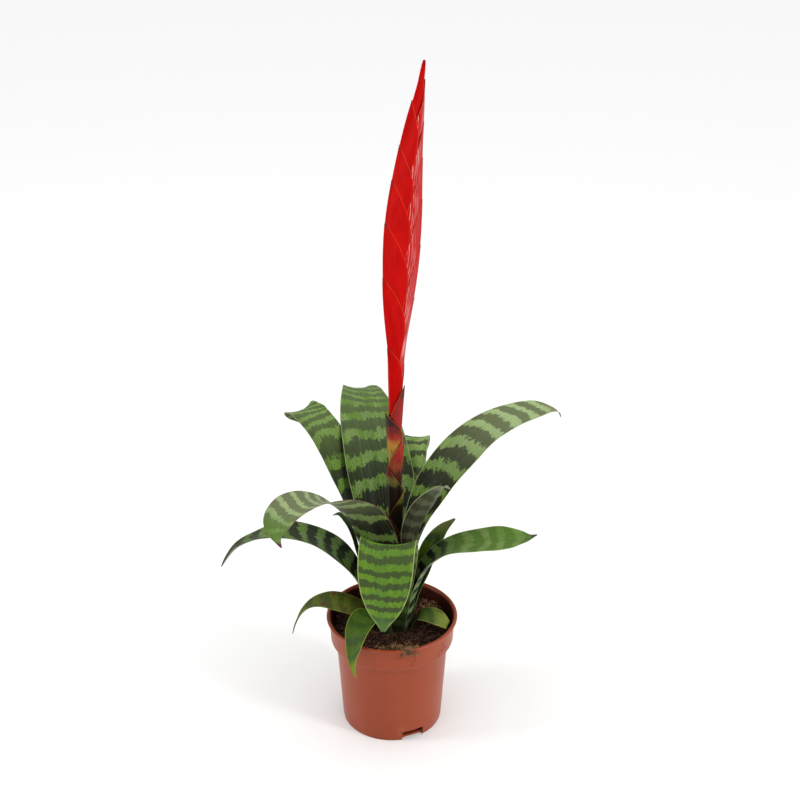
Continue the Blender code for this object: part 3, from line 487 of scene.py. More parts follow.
def leaf_points(name, rows, cols):
    """Middle sheet of a leaf, with its length and width at each row."""
    azimuth, stations = LEAVES[name]
    st = np.array(stations, float)
    chord = np.r_[0, np.cumsum(np.linalg.norm(np.diff(st[:, :3], axis=0), axis=1))]
    t = np.linspace(0, chord[-1], rows + 1)
    er = np.array([cos(radians(azimuth)), sin(radians(azimuth)), 0])
    et = np.array([-sin(radians(azimuth)), cos(radians(azimuth)), 0])

    def centre(u):
        c = curve_through(chord, st[:, :3], u)
        return (np.array([AXIS_X, 0, 0]) + c[:, :1] * er + c[:, 1:2] * et
                + c[:, 2:3] * np.array([0, 0, 1]))

    p = centre(t)
    d = 0.4
    tan = centre(t + d) - centre(t - d)
    tan /= np.linalg.norm(tan, axis=1)[:, None]
    width = np.maximum(curve_through(chord, st[:, 3], t), 1.2)
    roll = np.radians(curve_through(chord, st[:, 4], t))[:, None]
    cup = np.radians(np.clip(curve_through(chord, st[:, 5], t), 4, 80))
    s0 = et - (tan @ et)[:, None] * tan
    s0 /= np.linalg.norm(s0, axis=1)[:, None]
    n0 = np.cross(tan, s0)
    s = s0 * np.cos(roll) + n0 * np.sin(roll)
    n = n0 * np.cos(roll) - s0 * np.sin(roll)
    radius = width / 2 / cup
    out = np.empty((rows + 1, cols + 1, 3))
    lat = np.empty((rows + 1, cols + 1))
    for j in range(cols + 1):
        v = 2 * j / cols - 1
        v = np.sign(v) * (1 - (1 - abs(v)) ** 1.25)      # columns crowd towards the margins
        a = cup * v
        out[:, j] = (p + s * (radius * np.sin(a))[:, None]
                     + n * (radius * (1 - np.cos(a)))[:, None])
        lat[:, j] = width / 2 * v
    return out, t, lat, width


def sheet_solid(name, pts, thick, attrs, mat, cap=True):
    """Closed solid from a sheet of points (mm).

    thick is the full thickness at each point; attrs are values at each point,
    carried by both sides, and "under" tells the two sides apart."""
    rows, cols = pts.shape[:2]
    du = np.gradient(pts, axis=0)
    dv = np.gradient(pts, axis=1)
    nrm = np.cross(dv, du)
    ln = np.linalg.norm(nrm, axis=2, keepdims=True)
    nrm = nrm / np.maximum(ln, 1e-9)
    top = (pts + nrm * thick[..., None] / 2).reshape(-1, 3)
    bot = (pts - nrm * thick[..., None] / 2).reshape(-1, 3)
    n = rows * cols
    co = np.concatenate([top, bot]) * MM
    idx = np.arange(n).reshape(rows, cols)
    a, b, c, d = idx[:-1, :-1], idx[:-1, 1:], idx[1:, 1:], idx[1:, :-1]
    up = np.stack([a, b, c, d], -1).reshape(-1, 4)
    dn = np.stack([d, c, b, a], -1).reshape(-1, 4) + n
    loop = np.concatenate([idx[0, :-1], idx[:-1, -1], idx[-1, :0:-1], idx[:0:-1, 0]])
    nxt = np.roll(loop, -1)
    rim = np.stack([nxt, loop, loop + n, nxt + n], -1)
    faces = np.concatenate([up, dn, rim])
    me = bpy.data.meshes.new(name)
    me.vertices.add(2 * n)
    me.vertices.foreach_set("co", co.ravel())
    me.loops.add(len(faces) * 4)
    me.loops.foreach_set("vertex_index", faces.ravel().astype(np.int32))
    me.polygons.add(len(faces))
    me.polygons.foreach_set("loop_start", np.arange(0, len(faces) * 4, 4, dtype=np.int32))
    me.update(calc_edges=True)
    me.validate()
    vals = dict(attrs)
    for k, v in vals.items():
        at = me.attributes.new(k, "FLOAT", "POINT")
        at.data.foreach_set("value", np.concatenate([v.ravel(), v.ravel()]).astype(np.float32))
    at = me.attributes.new("under", "FLOAT", "POINT")
    at.data.foreach_set("value", np.r_[np.ones(n), np.zeros(n)].astype(np.float32))
    me.shade_smooth()
    me.set_sharp_from_angle(angle=radians(70))
    me.materials.append(mat)
    ob = bpy.data.objects.new(name, me)
    SCENE.collection.objects.link(ob)
    return ob


def band_phase(centres, t):
    c = np.asarray(centres, float)
    k = np.arange(len(c), dtype=float)
    ph = np.interp(t, c, k)
    ph = np.where(t < c[0], (t - c[0]) / (c[1] - c[0]), ph)
    return np.where(t > c[-1], k[-1] + (t - c[-1]) / (c[-1] - c[-2]), ph)


def make_leaf(name, k):
    look = LOOKS[name]
    length = 0.0
    st = np.array(LEAVES[name][1], float)
    length = np.linalg.norm(np.diff(st[:, :3], axis=0), axis=1).sum()
    rows = int(max(60, length / 1.5))
    cols = 24
    pts, t, lat, width = leaf_points(name, rows, cols)
    v = lat / (width[:, None] / 2)
    along = np.repeat(t[:, None], cols + 1, 1)
    tipd = length - along
    # shallow waves along the margin and a faint midrib groove
    du = np.gradient(pts, axis=0)
    dv = np.gradient(pts, axis=1)
    nrm = np.cross(dv, du)
    nrm /= np.maximum(np.linalg.norm(nrm, axis=2, keepdims=True), 1e-9)
    free = np.clip((along - 45) / 30, 0, 1) * np.clip(tipd / 20, 0, 1)
    wave = 0.35 * np.sin(along / 9.5 + 1.7 * k) * np.maximum(v, 0) ** 3
    wave += 0.35 * np.sin(along / 8.0 + 2.9 * k + 1.0) * np.maximum(-v, 0) ** 3
    groove = 0.18 * np.exp(-(lat / 1.6) ** 2)
    pts = pts + nrm * ((wave - groove) * free)[..., None]
    thick = 0.62 - 0.30 * np.abs(v) ** 4
    thick *= np.clip(0.55 + 0.45 * tipd / 12.0, 0.55, 1.0)
    band = np.repeat(band_phase(look["centres"], t)[:, None], cols + 1, 1)
    band = band + look.get("skew", 0.0) * v + look.get("arch", 0.25) * v**2
    # a margin line of even width, about 0.7 mm
    edge = 1.0 - np.clip((width[:, None] / 2 - np.abs(lat)) / np.maximum(width[:, None] / 2, 3.0) * np.clip(width[:, None] / 2 / 18.0, 0.35, 1.6), 0, 1)
    ob = sheet_solid(name + "_visual", pts, thick,
                     dict(lat=lat, along=along, band=band, edge=edge, tipd=tipd, far=along / length),
                     leaf_material(name, look, 3.7 * k + 1.3))
    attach(ob, "root")
    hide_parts(name)
    return ob


def make_scape_bract(k, tip_z, azimuth):
    rows, cols = 60, 48
    pts = np.empty((rows + 1, cols + 1, 3))
    lat = np.empty((rows + 1, cols + 1))
    edge = np.empty((rows + 1, cols + 1))
    along = np.empty((rows + 1, cols + 1))
    for i in range(rows + 1):
        s = 1 - (1 - i / rows) ** 1.6
        z = tip_z - SCAPE_BRACT_LENGTH * (1 - s)
        c = axis_at(z)[0]
        r = SCAPE_R_IN + (SCAPE_R_OUT - SCAPE_R_IN) * s
        half = radians(168) * (1 - s ** {1: 1.45, 2: 3.6, 3: 2.0}.get(k, 2.2)) + radians(7)
        for j in range(cols + 1):
            v = 2 * j / cols - 1
            a = radians(azimuth) + half * v
            pts[i, j] = (c[0] + r * cos(a), c[1] + r * sin(a), z)
            lat[i, j] = r * half * v
            edge[i, j] = 1 - min(1.0, r * half * (1 - abs(v)) / 10.0)
            along[i, j] = SCAPE_BRACT_LENGTH * s
    tipd = SCAPE_BRACT_LENGTH - along
    v = np.linspace(-1, 1, cols + 1)[None, :]
    thick = np.full_like(lat, 0.45) - 0.2 * np.abs(v) ** 6
    stops = {
        1: ((0, (0.04, 0.006, 0.006)), (9, (0.07, 0.008, 0.007)), (15, (0.24, 0.009, 0.008)), (40, (0.27, 0.011, 0.008))),
        2: ((0, (0.018, 0.006, 0.006)), (9, (0.030, 0.008, 0.007)), (16, (0.15, 0.010, 0.008)),
            (22, (0.26, 0.02, 0.010)), (29, (0.34, 0.16, 0.025)), (44, (0.20, 0.18, 0.03))),
        3: ((0, (0.28, 0.022, 0.009)), (16, (0.25, 0.014, 0.008)), (23, (0.22, 0.04, 0.010)),
            (32, (0.06, 0.014, 0.007)), (44, (0.025, 0.010, 0.006))),
        4: ((0, (0.024, 0.008, 0.005)), (8, (0.10, 0.012, 0.007)), (11, (0.11, 0.10, 0.018)),
            (15, (0.08, 0.08, 0.015)), (19, (0.012, 0.006, 0.004)), (44, (0.012, 0.007, 0.004))),
        5: ((0, (0.14, 0.17, 0.025)), (9, (0.10, 0.12, 0.02)), (15, (0.014, 0.009, 0.005)), (44, (0.012, 0.008, 0.005))),
        6: ((0, (0.018, 0.009, 0.005)), (20, (0.03, 0.026, 0.008)), (44, (0.05, 0.07, 0.012))),
        7: ((0, (0.03, 0.020, 0.008)), (20, (0.05, 0.07, 0.012)), (44, (0.06, 0.08, 0.013))),
    }[k]
    ob = sheet_solid(f"scape_bract_{k}_visual", pts, thick,
                     dict(lat=lat, along=along, edge=edge, tipd=tipd),
                     scape_material(f"scape_bract_{k}", 5.1 * k, stops))
    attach(ob, "root")
    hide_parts(f"scape_bract_{k}")
    return ob


def spike_frame():
    yaw = radians(SPIKE_YAW)
    return (np.array([cos(yaw), sin(yaw), 0.0]), np.array([sin(yaw), -cos(yaw), 0.0]))


def bract_width(k, s, env):
    """Half width of a bract: it keeps to the outline down to the tip of the
    next lower bract on its side, and then runs in towards the core."""
    side, tip_z, length = FLORAL_BRACTS[k]
    below = FLORAL_BRACTS[k - 2][1] if k >= 2 else tip_z - 0.6 * length
    cover = max(1 - (tip_z - below) / length, 0.2)
    if s >= cover:
        return env - 0.5 * (1 - s) / (1 - cover)
    core = CORE_T + 0.6
    return core + (max(env - 0.5, core) - core) * sin(pi / 2 * (s / cover) ** 0.75)


def make_floral_bract(k):
    side, tip_z, length = FLORAL_BRACTS[k]
    across, front = spike_frame()
    width = np.array(SPIKE_WIDTH, float)
    depth = np.array(SPIKE_THICK, float)
    rows, cols = 80, 40
    half = cols // 2
    pts = np.empty((rows + 1, cols + 1, 3))
    pts_x = np.empty((rows + 1, cols + 1))
    lat = np.empty((rows + 1, cols + 1))
    edge = np.empty((rows + 1, cols + 1))
    along = np.empty((rows + 1, cols + 1))
    for i in range(rows + 1):
        q = i / rows
        low = {0: -0.08, 1: -0.14, 11: -0.05, 12: -0.30}.get(k, 0.12)
        s = low + (1 - low) * (1 - (1 - q) ** 1.35)
        z = tip_z - length * (1 - s)
        s = max(s, 0.02)
        c = axis_at(z)[0]
        env = curve_through(width[:, 0], width[:, 1], [z])[0]
        top = curve_through(depth[:, 0], depth[:, 1], [z])[0]
        w = bract_width(k, s, env)
        core = min(CORE_T, 0.86 * top)
        t = core + (top - core) * s
        power = 1.35 + 0.75 * min(max((400 - z) / 50, 0), 1)
        margin = curve_through([0.0, 0.12, 0.28, 0.53, 0.74, 1.0],
                               [-0.50, -0.44, -0.30, -0.12, 0.26, 0.92], [s])[0]
        for j in range(cols + 1):
            u = j / half - 1
            x = 1 - (1 - margin) * abs(u) ** 1.15
            y = max(t * (1 - abs(x) ** power) - 0.14 * abs(u) ** 10 * (s < 0.93), 0) * (-1 if u > 0 else 1)
            pts[i, j] = c + across * side * w * x + front * y
            pts_x[i, j] = x
            lat[i, j] = w * (1 - margin) * u
            edge[i, j] = 1 - min(1.0, w * (1 - margin) * (1 - abs(u) ** 1.15) / 14.0)
            along[i, j] = length * s
    tipd = length - along
    u = np.linspace(-1, 1, cols + 1)[None, :]
    thick = np.full_like(lat, FLORAL_THICKNESS) - 0.08 * np.abs(u) ** 8
    # how near to the ridge on the front half: it places the painted highlight streaks on the side turned to the light
    ridge = np.clip(1.25 - np.abs(pts_x) * 1.7, 0, 1) * (u < 0) * np.clip((along - 6) / 8, 0, 1)
    name = f"floral_bract_{k + 1:02d}"
    if side < 0:
        pts, lat, edge, along, tipd, thick, ridge = (a[:, ::-1] for a in (pts, lat, edge, along, tipd, thick, ridge))
    ob = sheet_solid(name + "_visual", np.ascontiguousarray(pts), np.ascontiguousarray(thick),
                     dict(lat=lat, along=along, edge=edge, tipd=tipd, ridge=np.ascontiguousarray(ridge)),
                     bract_material(name, 2.3 * k + 2.3, 0.30 if side > 0 else 0.0))
    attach(ob, "root")
    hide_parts(name)
    return ob


def ring_solid(name, rings, mat, attrs=None, angle=60):
    """Solid through rings of points (mm), pointed or flat ends closed by fans."""
    rings = [np.asarray(r, float) for r in rings]
    n = len(rings[0])
    co = np.concatenate(rings + [rings[0].mean(0)[None], rings[-1].mean(0)[None]]) * MM
    faces = []
    for i in range(len(rings) - 1):
        for j in range(n):
            faces.append((i * n + j, i * n + (j + 1) % n, (i + 1) * n + (j + 1) % n, (i + 1) * n + j))
    e0, e1 = len(rings) * n, len(rings) * n + 1
    last = (len(rings) - 1) * n
    for j in range(n):
        faces.append((e0, (j + 1) % n, j))
        faces.append((e1, last + j, last + (j + 1) % n))
    me = bpy.data.meshes.new(name)
    me.from_pydata([tuple(v) for v in co], [], faces)
    me.update()
    for k, v in (attrs or {}).items():
        at = me.attributes.new(k, "FLOAT", "POINT")
        at.data.foreach_set("value", np.asarray(v, np.float32))
    me.shade_smooth()
    me.set_sharp_from_angle(angle=radians(angle))
    me.materials.append(mat)
    ob = bpy.data.objects.new(name, me)
    SCENE.collection.objects.link(ob)
    return ob


def make_tip_bud():
    across, front = spike_frame()
    width = np.array(SPIKE_WIDTH, float)
    rings, lat, along, edge, tipd = [], [], [], [], []
    z0, z1 = TIP_BUD[0] - 29, TIP_BUD[1]
    rows, n = 84, 40
    for i in range(rows + 1):
        s = i / rows
        z = z0 + (z1 - z0) * s
        c = axis_at(z)[0]
        env = curve_through(width[:, 0], width[:, 1], [z])[0]
        top = np.interp(z, [p[0] for p in SPIKE_THICK], [p[1] for p in SPIKE_THICK])
        w = max(min(env - 1.2 * min(max((603 - z) / 8, 0), 1), 1.5 + 60.0 * s), 0.45)
        t = max(min(0.70 * top, 0.8 * w + 0.3), 0.35)
        rings.append([tuple(c + across * w * cos(a) + front * t * (1 - abs(cos(a)) ** 1.5) * (1 if sin(a) > 0 else -1) * (abs(sin(a)) > 1e-6)
                            + front * 0.12 * sin(a))
                      for a in (2 * pi * k / n for k in range(n))])
        for k in range(n):
            lat.append(w * cos(2 * pi * k / n))
            along.append((z1 - z0) * s)
            edge.append(0.0)
            tipd.append((z1 - z0) * (1 - s))
    for arr, v in ((lat, 0.0), (along, 0.0), (edge, 0.0), (tipd, z1 - z0)):
        arr.append(v)
    for arr, v in ((lat, 0.0), (along, z1 - z0), (edge, 0.0), (tipd, 0.0)):
        arr.append(v)
    ob = ring_solid("spike_tip_bud_visual", rings, bract_material("spike_tip_bud", 77.0),
                    dict(lat=lat, along=along, edge=edge, tipd=tipd))
    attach(ob, "root")
    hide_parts("spike_tip_bud")


def make_stem():
    heights = [(70.4, 3.4), (72.5, 4.9), (86, STEM_FOOT_R), (116, STEM_FOOT_R), (130, STEM_R + 0.2),
               (150, STEM_R), (230, STEM_R), (298, STEM_R - 0.1), (311, 2.4), (320, 1.4),
               (340, 1.2), (400, 1.2), (460, 1.1), (520, 1.0), (552, 0.8)]
    hs = np.array(heights, float)
    zs = np.linspace(70.4, 552, 140)
    rr = np.interp(zs, hs[:, 0], hs[:, 1])
    n = 24
    rings = []
    for z, r in zip(zs, rr):
        c = axis_at(z)[0]
        rings.append([(c[0] + r * cos(2 * pi * k / n), c[1] + r * sin(2 * pi * k / n), z) for k in range(n)])
    g = Graph("stem_skin", roughness=0.45)
    co = coords(g)
    g.colour(g.mix(g.step(g.noise(co, 90.0, 2), 0.35, 0.65), (0.16, 0.020, 0.014), (0.30, 0.04, 0.02)))
    ob = ring_solid("flower_stem_visual", rings, g.mat)
    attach(ob, "root")
    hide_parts("flower_stem")


# -------------------------------------------------------------------- pot
def arc(cx, cz, r, a0, a1, n):
    return [(cx + r * cos(radians(a0 + (a1 - a0) * i / n)), cz + r * sin(radians(a0 + (a1 - a0) * i / n)))
            for i in range(n + 1)]


def pot_profile():
    w = POT_WALL
    pts = [(0, 0), (20, 0), (38, 0), (POT_BASE_R - 1.2, 0)]
    pts += arc(POT_BASE_R - 1.2, 1.2, 1.2, -80, -4, 5)
    for i in range(1, 14):
        z = 1.5 + 80.5 * i / 13
        pts.append((POT_BASE_R + (POT_WALL_TOP_R - POT_BASE_R) * (z / 84.0), z))
    # step out under the collar
    pts += [(POT_WALL_TOP_R + 0.1, 83.4), (POT_WALL_TOP_R + 0.9, 84.2), (POT_COLLAR_R - 2.6, 84.7),
            (POT_COLLAR_R - 1.5, 85.0), (POT_COLLAR_R - 0.9, 85.6), (POT_COLLAR_R - 0.65, 86.6)]
    for i in range(1, 8):
        z = 86.6 + 19.0 * i / 7
        pts.append((POT_COLLAR_R - 0.65 + 0.95 * i / 7, z))
    # rolled rim
    pts += [(POT_COLLAR_R + 0.6, 106.4), (POT_RIM_R - 1.7, 106.8)]
    pts += arc(POT_RIM_R - 1.3, 108.1, 1.3, -75, 90, 9)
    pts += [(POT_RIM_R - 2.0, POT_HEIGHT - 0.1), (POT_RIM_R - 2.9, POT_HEIGHT - 0.5),
            (POT_RIM_R - 3.6, POT_HEIGHT - 1.4), (POT_COLLAR_R - w + 0.3, 106.2)]
    for i in range(1, 8):
        z = 106.2 - 18.2 * i / 7
        pts.append((POT_COLLAR_R - w + 0.3 - 0.8 * i / 7, z))
    pts += [(POT_COLLAR_R - w - 1.0, 87.0), (POT_WALL_TOP_R - w + 0.6, 85.0), (POT_WALL_TOP_R - w, 84.2),
            (POT_WALL_TOP_R - w - 0.1, 82.0), (POT_BASE_R - w + 0.4, POT_FLOOR + 4.0),
            (POT_BASE_R - w - 3.0, POT_FLOOR), (20, POT_FLOOR), (0, POT_FLOOR)]
    return pts


def turned(profile, segments):
    bm = bmesh.new()
    vs = [bm.verts.new((r * MM, 0.0, z * MM)) for r, z in profile]
    edges = [bm.edges.new((vs[i], vs[i + 1])) for i in range(len(vs) - 1)]
    if profile[0][0] > 1e-9:
        edges.append(bm.edges.new((vs[-1], vs[0])))
    bmesh.ops.spin(bm, geom=vs + edges, cent=(0, 0, 0), axis=(0, 0, 1),
                   angle=2 * pi, steps=segments, use_merge=True)
    bmesh.ops.remove_doubles(bm, verts=bm.verts, dist=1e-6)
    bmesh.ops.recalc_face_normals(bm, faces=bm.faces)
    return bm


def apply_modifiers(ob):
    dg = bpy.context.evaluated_depsgraph_get()
    me = bpy.data.meshes.new_from_object(ob.evaluated_get(dg))
    ob.modifiers.clear()
    ob.data = me


def make_pot():
    bm = turned(pot_profile(), 160)
    me = bpy.data.meshes.new("pot_visual")
    bm.to_mesh(me)
    bm.free()
    pot = bpy.data.objects.new("pot_visual", me)
    SCENE.collection.objects.link(pot)
    cutters = []
    for azimuth in NOTCH_AZIMUTHS:
        bm = bmesh.new()
        bmesh.ops.create_cube(bm, size=1.0)
        bmesh.ops.scale(bm, verts=bm.verts, vec=(12 * MM, NOTCH_WIDTH * MM, 2 * NOTCH_HEIGHT * MM))
        edges = [e for e in bm.edges if abs(e.verts[0].co.x - e.verts[1].co.x) > 5 * MM]
        bmesh.ops.bevel(bm, geom=edges, offset=1.2 * MM, segments=4, affect="EDGES")
        bmesh.ops.translate(bm, verts=bm.verts, vec=((POT_BASE_R + 1.5) * MM, 0, 0))
        bmesh.ops.rotate(bm, verts=bm.verts, cent=(0, 0, 0), matrix=Matrix.Rotation(radians(azimuth), 3, "Z"))
        cm = bpy.data.meshes.new("cut")
        bm.to_mesh(cm)
        bm.free()
        cutter = bpy.data.objects.new("cut", cm)
        SCENE.collection.objects.link(cutter)
        mod = pot.modifiers.new("cut", "BOOLEAN")
        mod.operation = "DIFFERENCE"
        mod.solver = "EXACT"
        mod.object = cutter
        cutters.append(cutter)
    apply_modifiers(pot)
    for c in cutters:
        bpy.data.objects.remove(c, do_unlink=True)
    pot.data.name = "pot_visual"
    pot.data.shade_smooth()
    pot.data.set_sharp_from_angle(angle=radians(38))
    pot.data.materials.clear()
    pot.data.materials.append(plastic_material())
    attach(pot, "root")
    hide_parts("pot")


# ------------------------------------------------------------------- soil
def inner_r(z):
    return POT_COLLAR_R - POT_WALL - 0.5 - 0.3


def soil_height(x, y):
    """Lumpy surface, a little mounded towards the plant."""
    r = sqrt(x * x + y * y)
    z = SOIL_TOP + 1.6 * (1 - min(r / 56, 1)) + 0.2
    z += 1.5 * noise.noise(Vector((x * 0.07, y * 0.07, 3.1)))
    z += 1.3 * noise.noise(Vector((x * 0.19, y * 0.19, 9.4)))
    z += 0.9 * noise.noise(Vector((x * 0.45, y * 0.45, 1.9)))
    z += 0.5 * noise.noise(Vector((x * 1.1, y * 1.1, 5.5)))
    return z - 0.9 * max(0, (r - 50) / 6)


def make_soil():
    rings, segs = 64, 200
    R = inner_r(SOIL_TOP) - 0.4
    vs, fs = [], []
    c0 = (AXIS_X, 0.0)
    hole = 4.9
    # top from the stem outwards
    for i in range(rings + 1):
        q = (i / rings) ** 0.8
        for k in range(segs):
            a = 2 * pi * k / segs
            ox, oy = R * cos(a), R * sin(a)
            ix, iy = c0[0] + 5.9 * cos(a), c0[1] + 5.9 * sin(a)
            x, y = ix + (ox - ix) * q, iy + (oy - iy) * q
            vs.append((x, y, soil_height(x, y)))
    rows = rings + 1
    sides = [(R - 0.1, 92.0), (R - 0.3, 88.6), (POT_WALL_TOP_R - POT_WALL - 1.0, 84.2),
             (POT_BASE_R - POT_WALL - 0.7, POT_FLOOR + 9.0), (POT_BASE_R - POT_WALL - 7.0, POT_FLOOR + 0.3)]
    for r, z in sides:
        for k in range(segs):
            a = 2 * pi * k / segs
            vs.append((r * cos(a), r * sin(a), z))
    rows += len(sides)
    for i in range(rows - 1):
        for k in range(segs):
            a, b = i * segs + k, i * segs + (k + 1) % segs
            fs.append((a, a + segs, b + segs, b))
    # the underside, and the well that the stem's foot stands in
    bottom = len(vs)
    vs.append((0, 0, POT_FLOOR + 0.3))
    base = (rows - 1) * segs
    for k in range(segs):
        fs.append((base + k, bottom, base + (k + 1) % segs))
    well = len(vs)
    for k in range(segs):
        a = 2 * pi * k / segs
        vs.append((c0[0] + 5.9 * cos(a), c0[1] + 5.9 * sin(a), 70.0))
    tip = len(vs)
    vs.append((c0[0], c0[1], 70.0))
    for k in range(segs):
        a, b = k, (k + 1) % segs
        fs.append((a, b, well + b, well + a))
        fs.append((well + a, well + b, tip))
    me = bpy.data.meshes.new("soil_visual")
    me.from_pydata([(x * MM, y * MM, z * MM) for x, y, z in vs], [], fs)
    me.update()
    bm = bmesh.new()
    bm.from_mesh(me)
    bmesh.ops.recalc_face_normals(bm, faces=bm.faces)
    bm.to_mesh(me)
    bm.free()
    me.shade_smooth()
    me.set_sharp_from_angle(angle=radians(60))
    me.materials.append(soil_material("potting_soil_skin"))
    ob = bpy.data.objects.new("soil_visual", me)
    SCENE.collection.objects.link(ob)
    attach(ob, "root")
    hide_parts("soil")


class Heap:
    """Many small closed bits gathered into one mesh."""

    def __init__(self):
        self.v, self.f = [], []

    def add(self, verts, faces):
        k = len(self.v)
        self.v += [tuple(p) for p in verts]
        self.f += [tuple(i + k for i in f) for f in faces]

    def build(self, name, mat, smooth=True):
        me = bpy.data.meshes.new(name)
        me.from_pydata([(x * MM, y * MM, z * MM) for x, y, z in self.v], [], self.f)
        me.update()
        if smooth:
            me.shade_smooth()
        me.materials.append(mat)
        ob = bpy.data.objects.new(name, me)
        SCENE.collection.objects.link(ob)
        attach(ob, "root")
        return ob


def ico():
    bm = bmesh.new()
    bmesh.ops.create_icosphere(bm, subdivisions=2, radius=1.0)
    v = np.array([tuple(p.co) for p in bm.verts])
    f = [tuple(p.index for p in fc.verts) for fc in bm.faces]
    bm.free()
    return v, f


ICO_V, ICO_F = ico()


def add_crumb(heap, x, y, z, size):
    rot = Matrix.Rotation(rng.uniform(0, 2 * pi), 3, Vector(rng.normal(size=3)).normalized())
    sc = size * rng.uniform(0.55, 1.25, 3)
    off = Vector(rng.uniform(0, 90, 3))
    out = []
    for p in ICO_V:
        q = Vector(p)
        d = 1 + 0.45 * noise.noise(q * 1.3 + off) + 0.2 * noise.noise(q * 3.1 + off)
        q = rot @ Vector((q.x * sc[0] * d, q.y * sc[1] * d, q.z * sc[2] * d))
        out.append((x + q.x, y + q.y, z + q.z))
    heap.add(out, ICO_F)


def add_tube(heap, path, r0, r1, sides=5):
    path = [Vector(p) for p in path]
    n = len(path)
    ref = Vector((0.31, 0.52, 0.79)).normalized()
    verts, faces = [], []
    for i, p in enumerate(path):
        t = (path[min(i + 1, n - 1)] - path[max(i - 1, 0)]).normalized()
        s = t.cross(ref).normalized()
        u = t.cross(s)
        r = r0 + (r1 - r0) * i / (n - 1)
        for k in range(sides):
            a = 2 * pi * k / sides
            q = p + s * (r * cos(a)) + u * (r * sin(a))
            verts.append((q.x, q.y, q.z))
    for i in range(n - 1):
        for k in range(sides):
            a, b = i * sides + k, i * sides + (k + 1) % sides
            faces.append((a, b, b + sides, a + sides))
    faces.append(tuple(range(sides - 1, -1, -1)))
    faces.append(tuple(range((n - 1) * sides, n * sides)))
    heap.add(verts, faces)


def curl(x, y, z, length, heading, bend, lift, steps=7):
    """A short bent fibre that starts at a point."""
    pts = [(x, y, z)]
    h = heading
    for i in range(steps):
        d = length / steps
        h += bend / steps + rng.normal(0, 0.18)
        x += d * cos(h)
        y += d * sin(h)
        z += d * (lift * cos(pi * i / steps) + rng.normal(0, 0.12))
        pts.append((x, y, z))
    return pts


def make_litter():
    """Crumbs, bark fibres and curls that lie on the soil."""
    crumbs, fibres, curls = Heap(), Heap(), Heap()
    R = 53.5
    for _ in range(520):
        r = R * sqrt(rng.uniform(0.10, 1.0))
        a = rng.uniform(0, 2 * pi)
        x, y = r * cos(a), r * sin(a)
        size = rng.choice([0.7, 1.0, 1.4, 1.9], p=[0.4, 0.3, 0.2, 0.1])
        if r + size * 1.4 > 54.3:
            continue
        add_crumb(crumbs, x, y, soil_height(x, y) + 0.25 * size, size)
    for _ in range(620):
        r = 51.0 * sqrt(rng.uniform(0.12, 1.0))
        a = rng.uniform(0, 2 * pi)
        x, y = r * cos(a), r * sin(a)
        ln = rng.uniform(3.0, 9.0)
        path = curl(x, y, soil_height(x, y) + 0.5, ln, rng.uniform(0, 2 * pi), rng.uniform(-1.6, 1.6), rng.uniform(0.0, 0.45))
        path = [(px, py, max(pz, soil_height(px, py) + 0.1)) for px, py, pz in path if px * px + py * py < 53.6**2]
        if len(path) > 3:
            add_tube(fibres, path, rng.uniform(0.22, 0.42), 0.12)
    # a thick nest of curls in front of the plant, where the folded leaf ends
    for _ in range(260):
        x = rng.normal(10, 11)
        y = rng.normal(-44, 5.0)
        if x * x + y * y > 52.0**2 or y > -26:
            continue
        ln = rng.uniform(3.0, 8.5)
        path = curl(x, y, soil_height(x, y) + rng.uniform(0.4, 2.6), ln, rng.uniform(0, 2 * pi),
                    rng.uniform(-3.0, 3.0), rng.uniform(0.0, 0.5))
        path = [(px, py, max(pz, soil_height(px, py) + 0.15)) for px, py, pz in path if px * px + py * py < 53.4**2]
        if len(path) > 3:
            add_tube(curls, path, rng.uniform(0.26, 0.48), 0.14)
    # and behind, right of the plant
    for _ in range(110):
        x = rng.normal(38, 7)
        y = rng.normal(22, 8)
        if x * x + y * y > 52.0**2:
            continue
        path = curl(x, y, soil_height(x, y) + rng.uniform(0.4, 3.0), rng.uniform(3, 8), rng.uniform(0, 2 * pi),
                    rng.uniform(-3.0, 3.0), rng.uniform(0.0, 0.5))
        path = [(px, py, max(pz, soil_height(px, py) + 0.15)) for px, py, pz in path if px * px + py * py < 53.4**2]
        if len(path) > 3:
            add_tube(curls, path, rng.uniform(0.20, 0.34), 0.12)
    crumbs.build("soil_crumbs", soil_material("soil_crumb_skin", (0.016, 0.009, 0.006), (0.045, 0.021, 0.013), (0.12, 0.05, 0.028)))
    fibres.build("soil_fibres", fibre_material("soil_fibre_skin", (0.055, 0.022, 0.012), (0.17, 0.075, 0.038)))
    curls.build("soil_curls", fibre_material("soil_curl_skin", (0.14, 0.065, 0.030), (0.40, 0.225, 0.105)))


